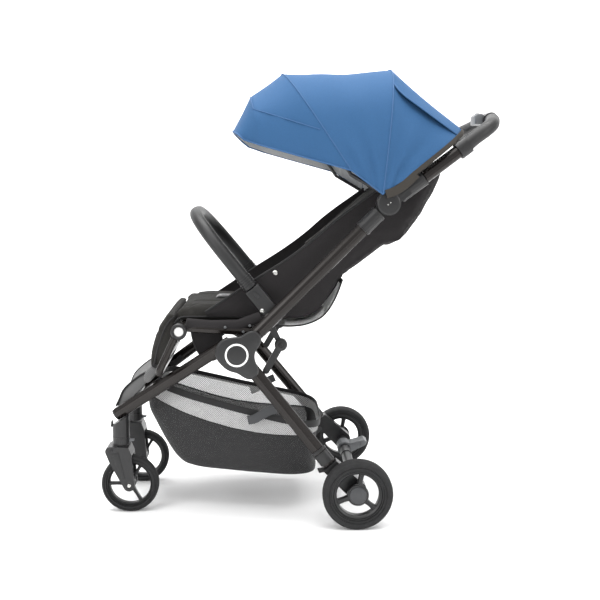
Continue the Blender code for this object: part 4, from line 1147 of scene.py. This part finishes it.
body_skin = basket_skin("basket_mesh_body", LEVELS + [SCOOP], BODY_MESH)
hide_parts("basket")
window = basket_skin("basket_net_band", [SCOOP, HEM], WINDOW_MESH)
scoop_line = [basket_point([SCOOP], 0, i / AROUND) for i in range(AROUND)]
swept("basket_scoop_binding", scoop_line, section(0.0036, 0.0022, 10), PIPING, "rear_legs",
      up=(0, 0, 1), closed=True)
hem_line = [basket_point([HEM], 0, i / AROUND) for i in range(AROUND)]
swept("basket_hem_band", hem_line, section(0.0150, 0.0028, 14, 0.6), WEBBING, "rear_legs",
      up=(0, 0, 1), closed=True)
for label, side in SIDES.items():
    tie = bezier([(-0.318, side * 0.1180, 0.2870), (-0.300, side * 0.1240, 0.2960),
                  (-0.290, side * 0.1300, 0.3060)], 6)
    swept("basket_front_tie_" + label, tie, section(0.0022, 0.0140, 12, 0.6), WEBBING, "rear_legs")
    tab = bezier([(-0.122, side * 0.1480, 0.2150), (-0.108, side * 0.1540, 0.2190),
                  (-0.080, side * 0.1600, 0.2360), (-0.062, side * 0.1640, 0.2440)], 6)
    swept("basket_side_strap_" + label, tab, section(0.0030, 0.0200, 14, 0.6), GREY_WEBBING, "rear_legs")
    hook = bezier([(0.032, side * 0.150, 0.1000), (0.044, side * 0.158, 0.1050),
                   (0.056, side * 0.170, 0.1120)], 6)
    swept("basket_rear_tie_" + label, hook, section(0.0026, 0.0120, 12, 0.6), WEBBING, "rear_legs")

# The knitted body and its bands each get a mesh of their own.
for piece in [obj for obj in bpy.data.objects if obj.name.startswith("basket_")]:
    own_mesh(piece)


# ---------------------------------------------------------------- harness
# Five straps of webbing with shoulder sleeves, meeting in a buckle on a crotch strap.
def on_backrest(share, lift, across):
    """A point above the backrest's front face, from its foot to its head."""
    low, high = (-0.0850, 0.4900), (0.2500, 0.7660)
    x, z = lerp(low, high, share)
    return x - 0.64 * lift, across, z + 0.77 * lift


for label, side in SIDES.items():
    line = [on_backrest(0.66, 0.006, side * 0.045), on_backrest(0.50, 0.010, side * 0.046),
            on_backrest(0.30, 0.012, side * 0.044), on_backrest(0.12, 0.014, side * 0.036)]
    swept("shoulder_strap_" + label, bezier(line, 8), section(0.0240, 0.0022, 14, 0.6), WEBBING,
          "backrest", up=(0, 1, 0))
    sleeve = bezier(line[:3], 8)[2:-1]
    cover = swept("shoulder_pad_" + label, sleeve, section(0.0420, 0.0110, 24, 0.6), SEAT_CLOTH,
                  "backrest", up=(0, 1, 0), dome=0.002)
    cloth_uv(cover)
    waist = [(-0.100, side * 0.118, 0.4680), (-0.120, side * 0.090, 0.4660), (-0.150, side * 0.048, 0.4640),
             (-0.168, side * 0.022, 0.4655)]
    swept("waist_strap_" + label, bezier(waist, 8), section(0.0025, 0.0240, 14, 0.6), WEBBING,
          "back_frame", up=(0, 0, 1))
crotch = [(-0.232, 0.0, 0.4600), (-0.212, 0.0, 0.4625), (-0.190, 0.0, 0.4660)]
swept("crotch_strap", bezier(crotch, 6), section(0.0240, 0.0024, 14, 0.6), WEBBING, "back_frame")
extruded("harness_buckle", [(-0.196, 0.4640), (-0.196, 0.4700), (-0.190, 0.4735), (-0.166, 0.4735),
                            (-0.160, 0.4700), (-0.160, 0.4640)], -0.0230, 0.0230, DARK_PLASTIC,
         "back_frame", 0.0022)
extruded("harness_button", [(-0.184, 0.4730), (-0.184, 0.4748), (-0.172, 0.4748), (-0.172, 0.4730)],
         -0.0070, 0.0070, GREY_PLASTIC, "back_frame", 0.0006)


# ---------------------------------------------------------------- studio and camera
# A pale sweep under broad soft lamps, seen from the left side at a child's-eye height.
sweep = bmesh.new()
back_y, rise = 2.2, 1.1
curve = [(-3.5, 0.0)]
for step in range(13):
    turn = math.radians(90 * step / 12)
    curve.append((back_y + rise * math.sin(turn), rise - rise * math.cos(turn)))
curve.append((back_y + rise, 4.0))
low_row = [sweep.verts.new((-5.0, y, z)) for y, z in curve]
high_row = [sweep.verts.new((5.0, y, z)) for y, z in curve]
for i in range(len(curve) - 1):
    sweep.faces.new((low_row[i], high_row[i], high_row[i + 1], low_row[i + 1]))
PAPER = new_material("white_background_paper", "F4F4F4", 0.9)
floor = linked("studio_floor", sweep, PAPER, None, 60)


def lamp(name, place, aim, size, power):
    data = bpy.data.lights.new(name, "AREA")
    data.shape = "RECTANGLE"
    data.size, data.size_y = size
    data.energy = power
    obj = bpy.data.objects.new(name, data)
    bpy.context.scene.collection.objects.link(obj)
    obj.location = place
    obj.rotation_euler = (Vector(aim) - Vector(place)).to_track_quat("-Z", "Y").to_euler()
    return obj


lamp("overhead_softbox", (-0.1, -0.6, 3.0), (0.0, 0.0, 0.4), (3.2, 2.4), 78.0)
lamp("left_softbox", (-2.4, -2.2, 1.8), (0.0, 0.0, 0.5), (1.8, 1.8), 40.0)
lamp("right_softbox", (2.6, -1.8, 1.5), (0.1, 0.0, 0.5), (1.5, 1.8), 30.0)
lamp("background_light", (0.0, 0.8, 3.4), (0.0, 2.6, 0.6), (3.6, 1.2), 130.0)
world = bpy.data.worlds.new("studio")
bpy.context.scene.world = world
world.use_nodes = True
world.node_tree.nodes["Background"].inputs["Color"].default_value = (1.0, 1.0, 1.0, 1.0)
world.node_tree.nodes["Background"].inputs["Strength"].default_value = 0.85
bpy.context.scene.view_settings.view_transform = "Standard"

view = bpy.data.cameras.new("side_view")
view.lens = 56.3
view.sensor_width = 36.0
camera = bpy.data.objects.new("side_view", view)
bpy.context.scene.collection.objects.link(camera)
camera.location = (-0.076, -2.153, 0.731)
camera.rotation_euler = (math.radians(82.84), 0.0, math.radians(-1.93))
bpy.context.scene.camera = camera
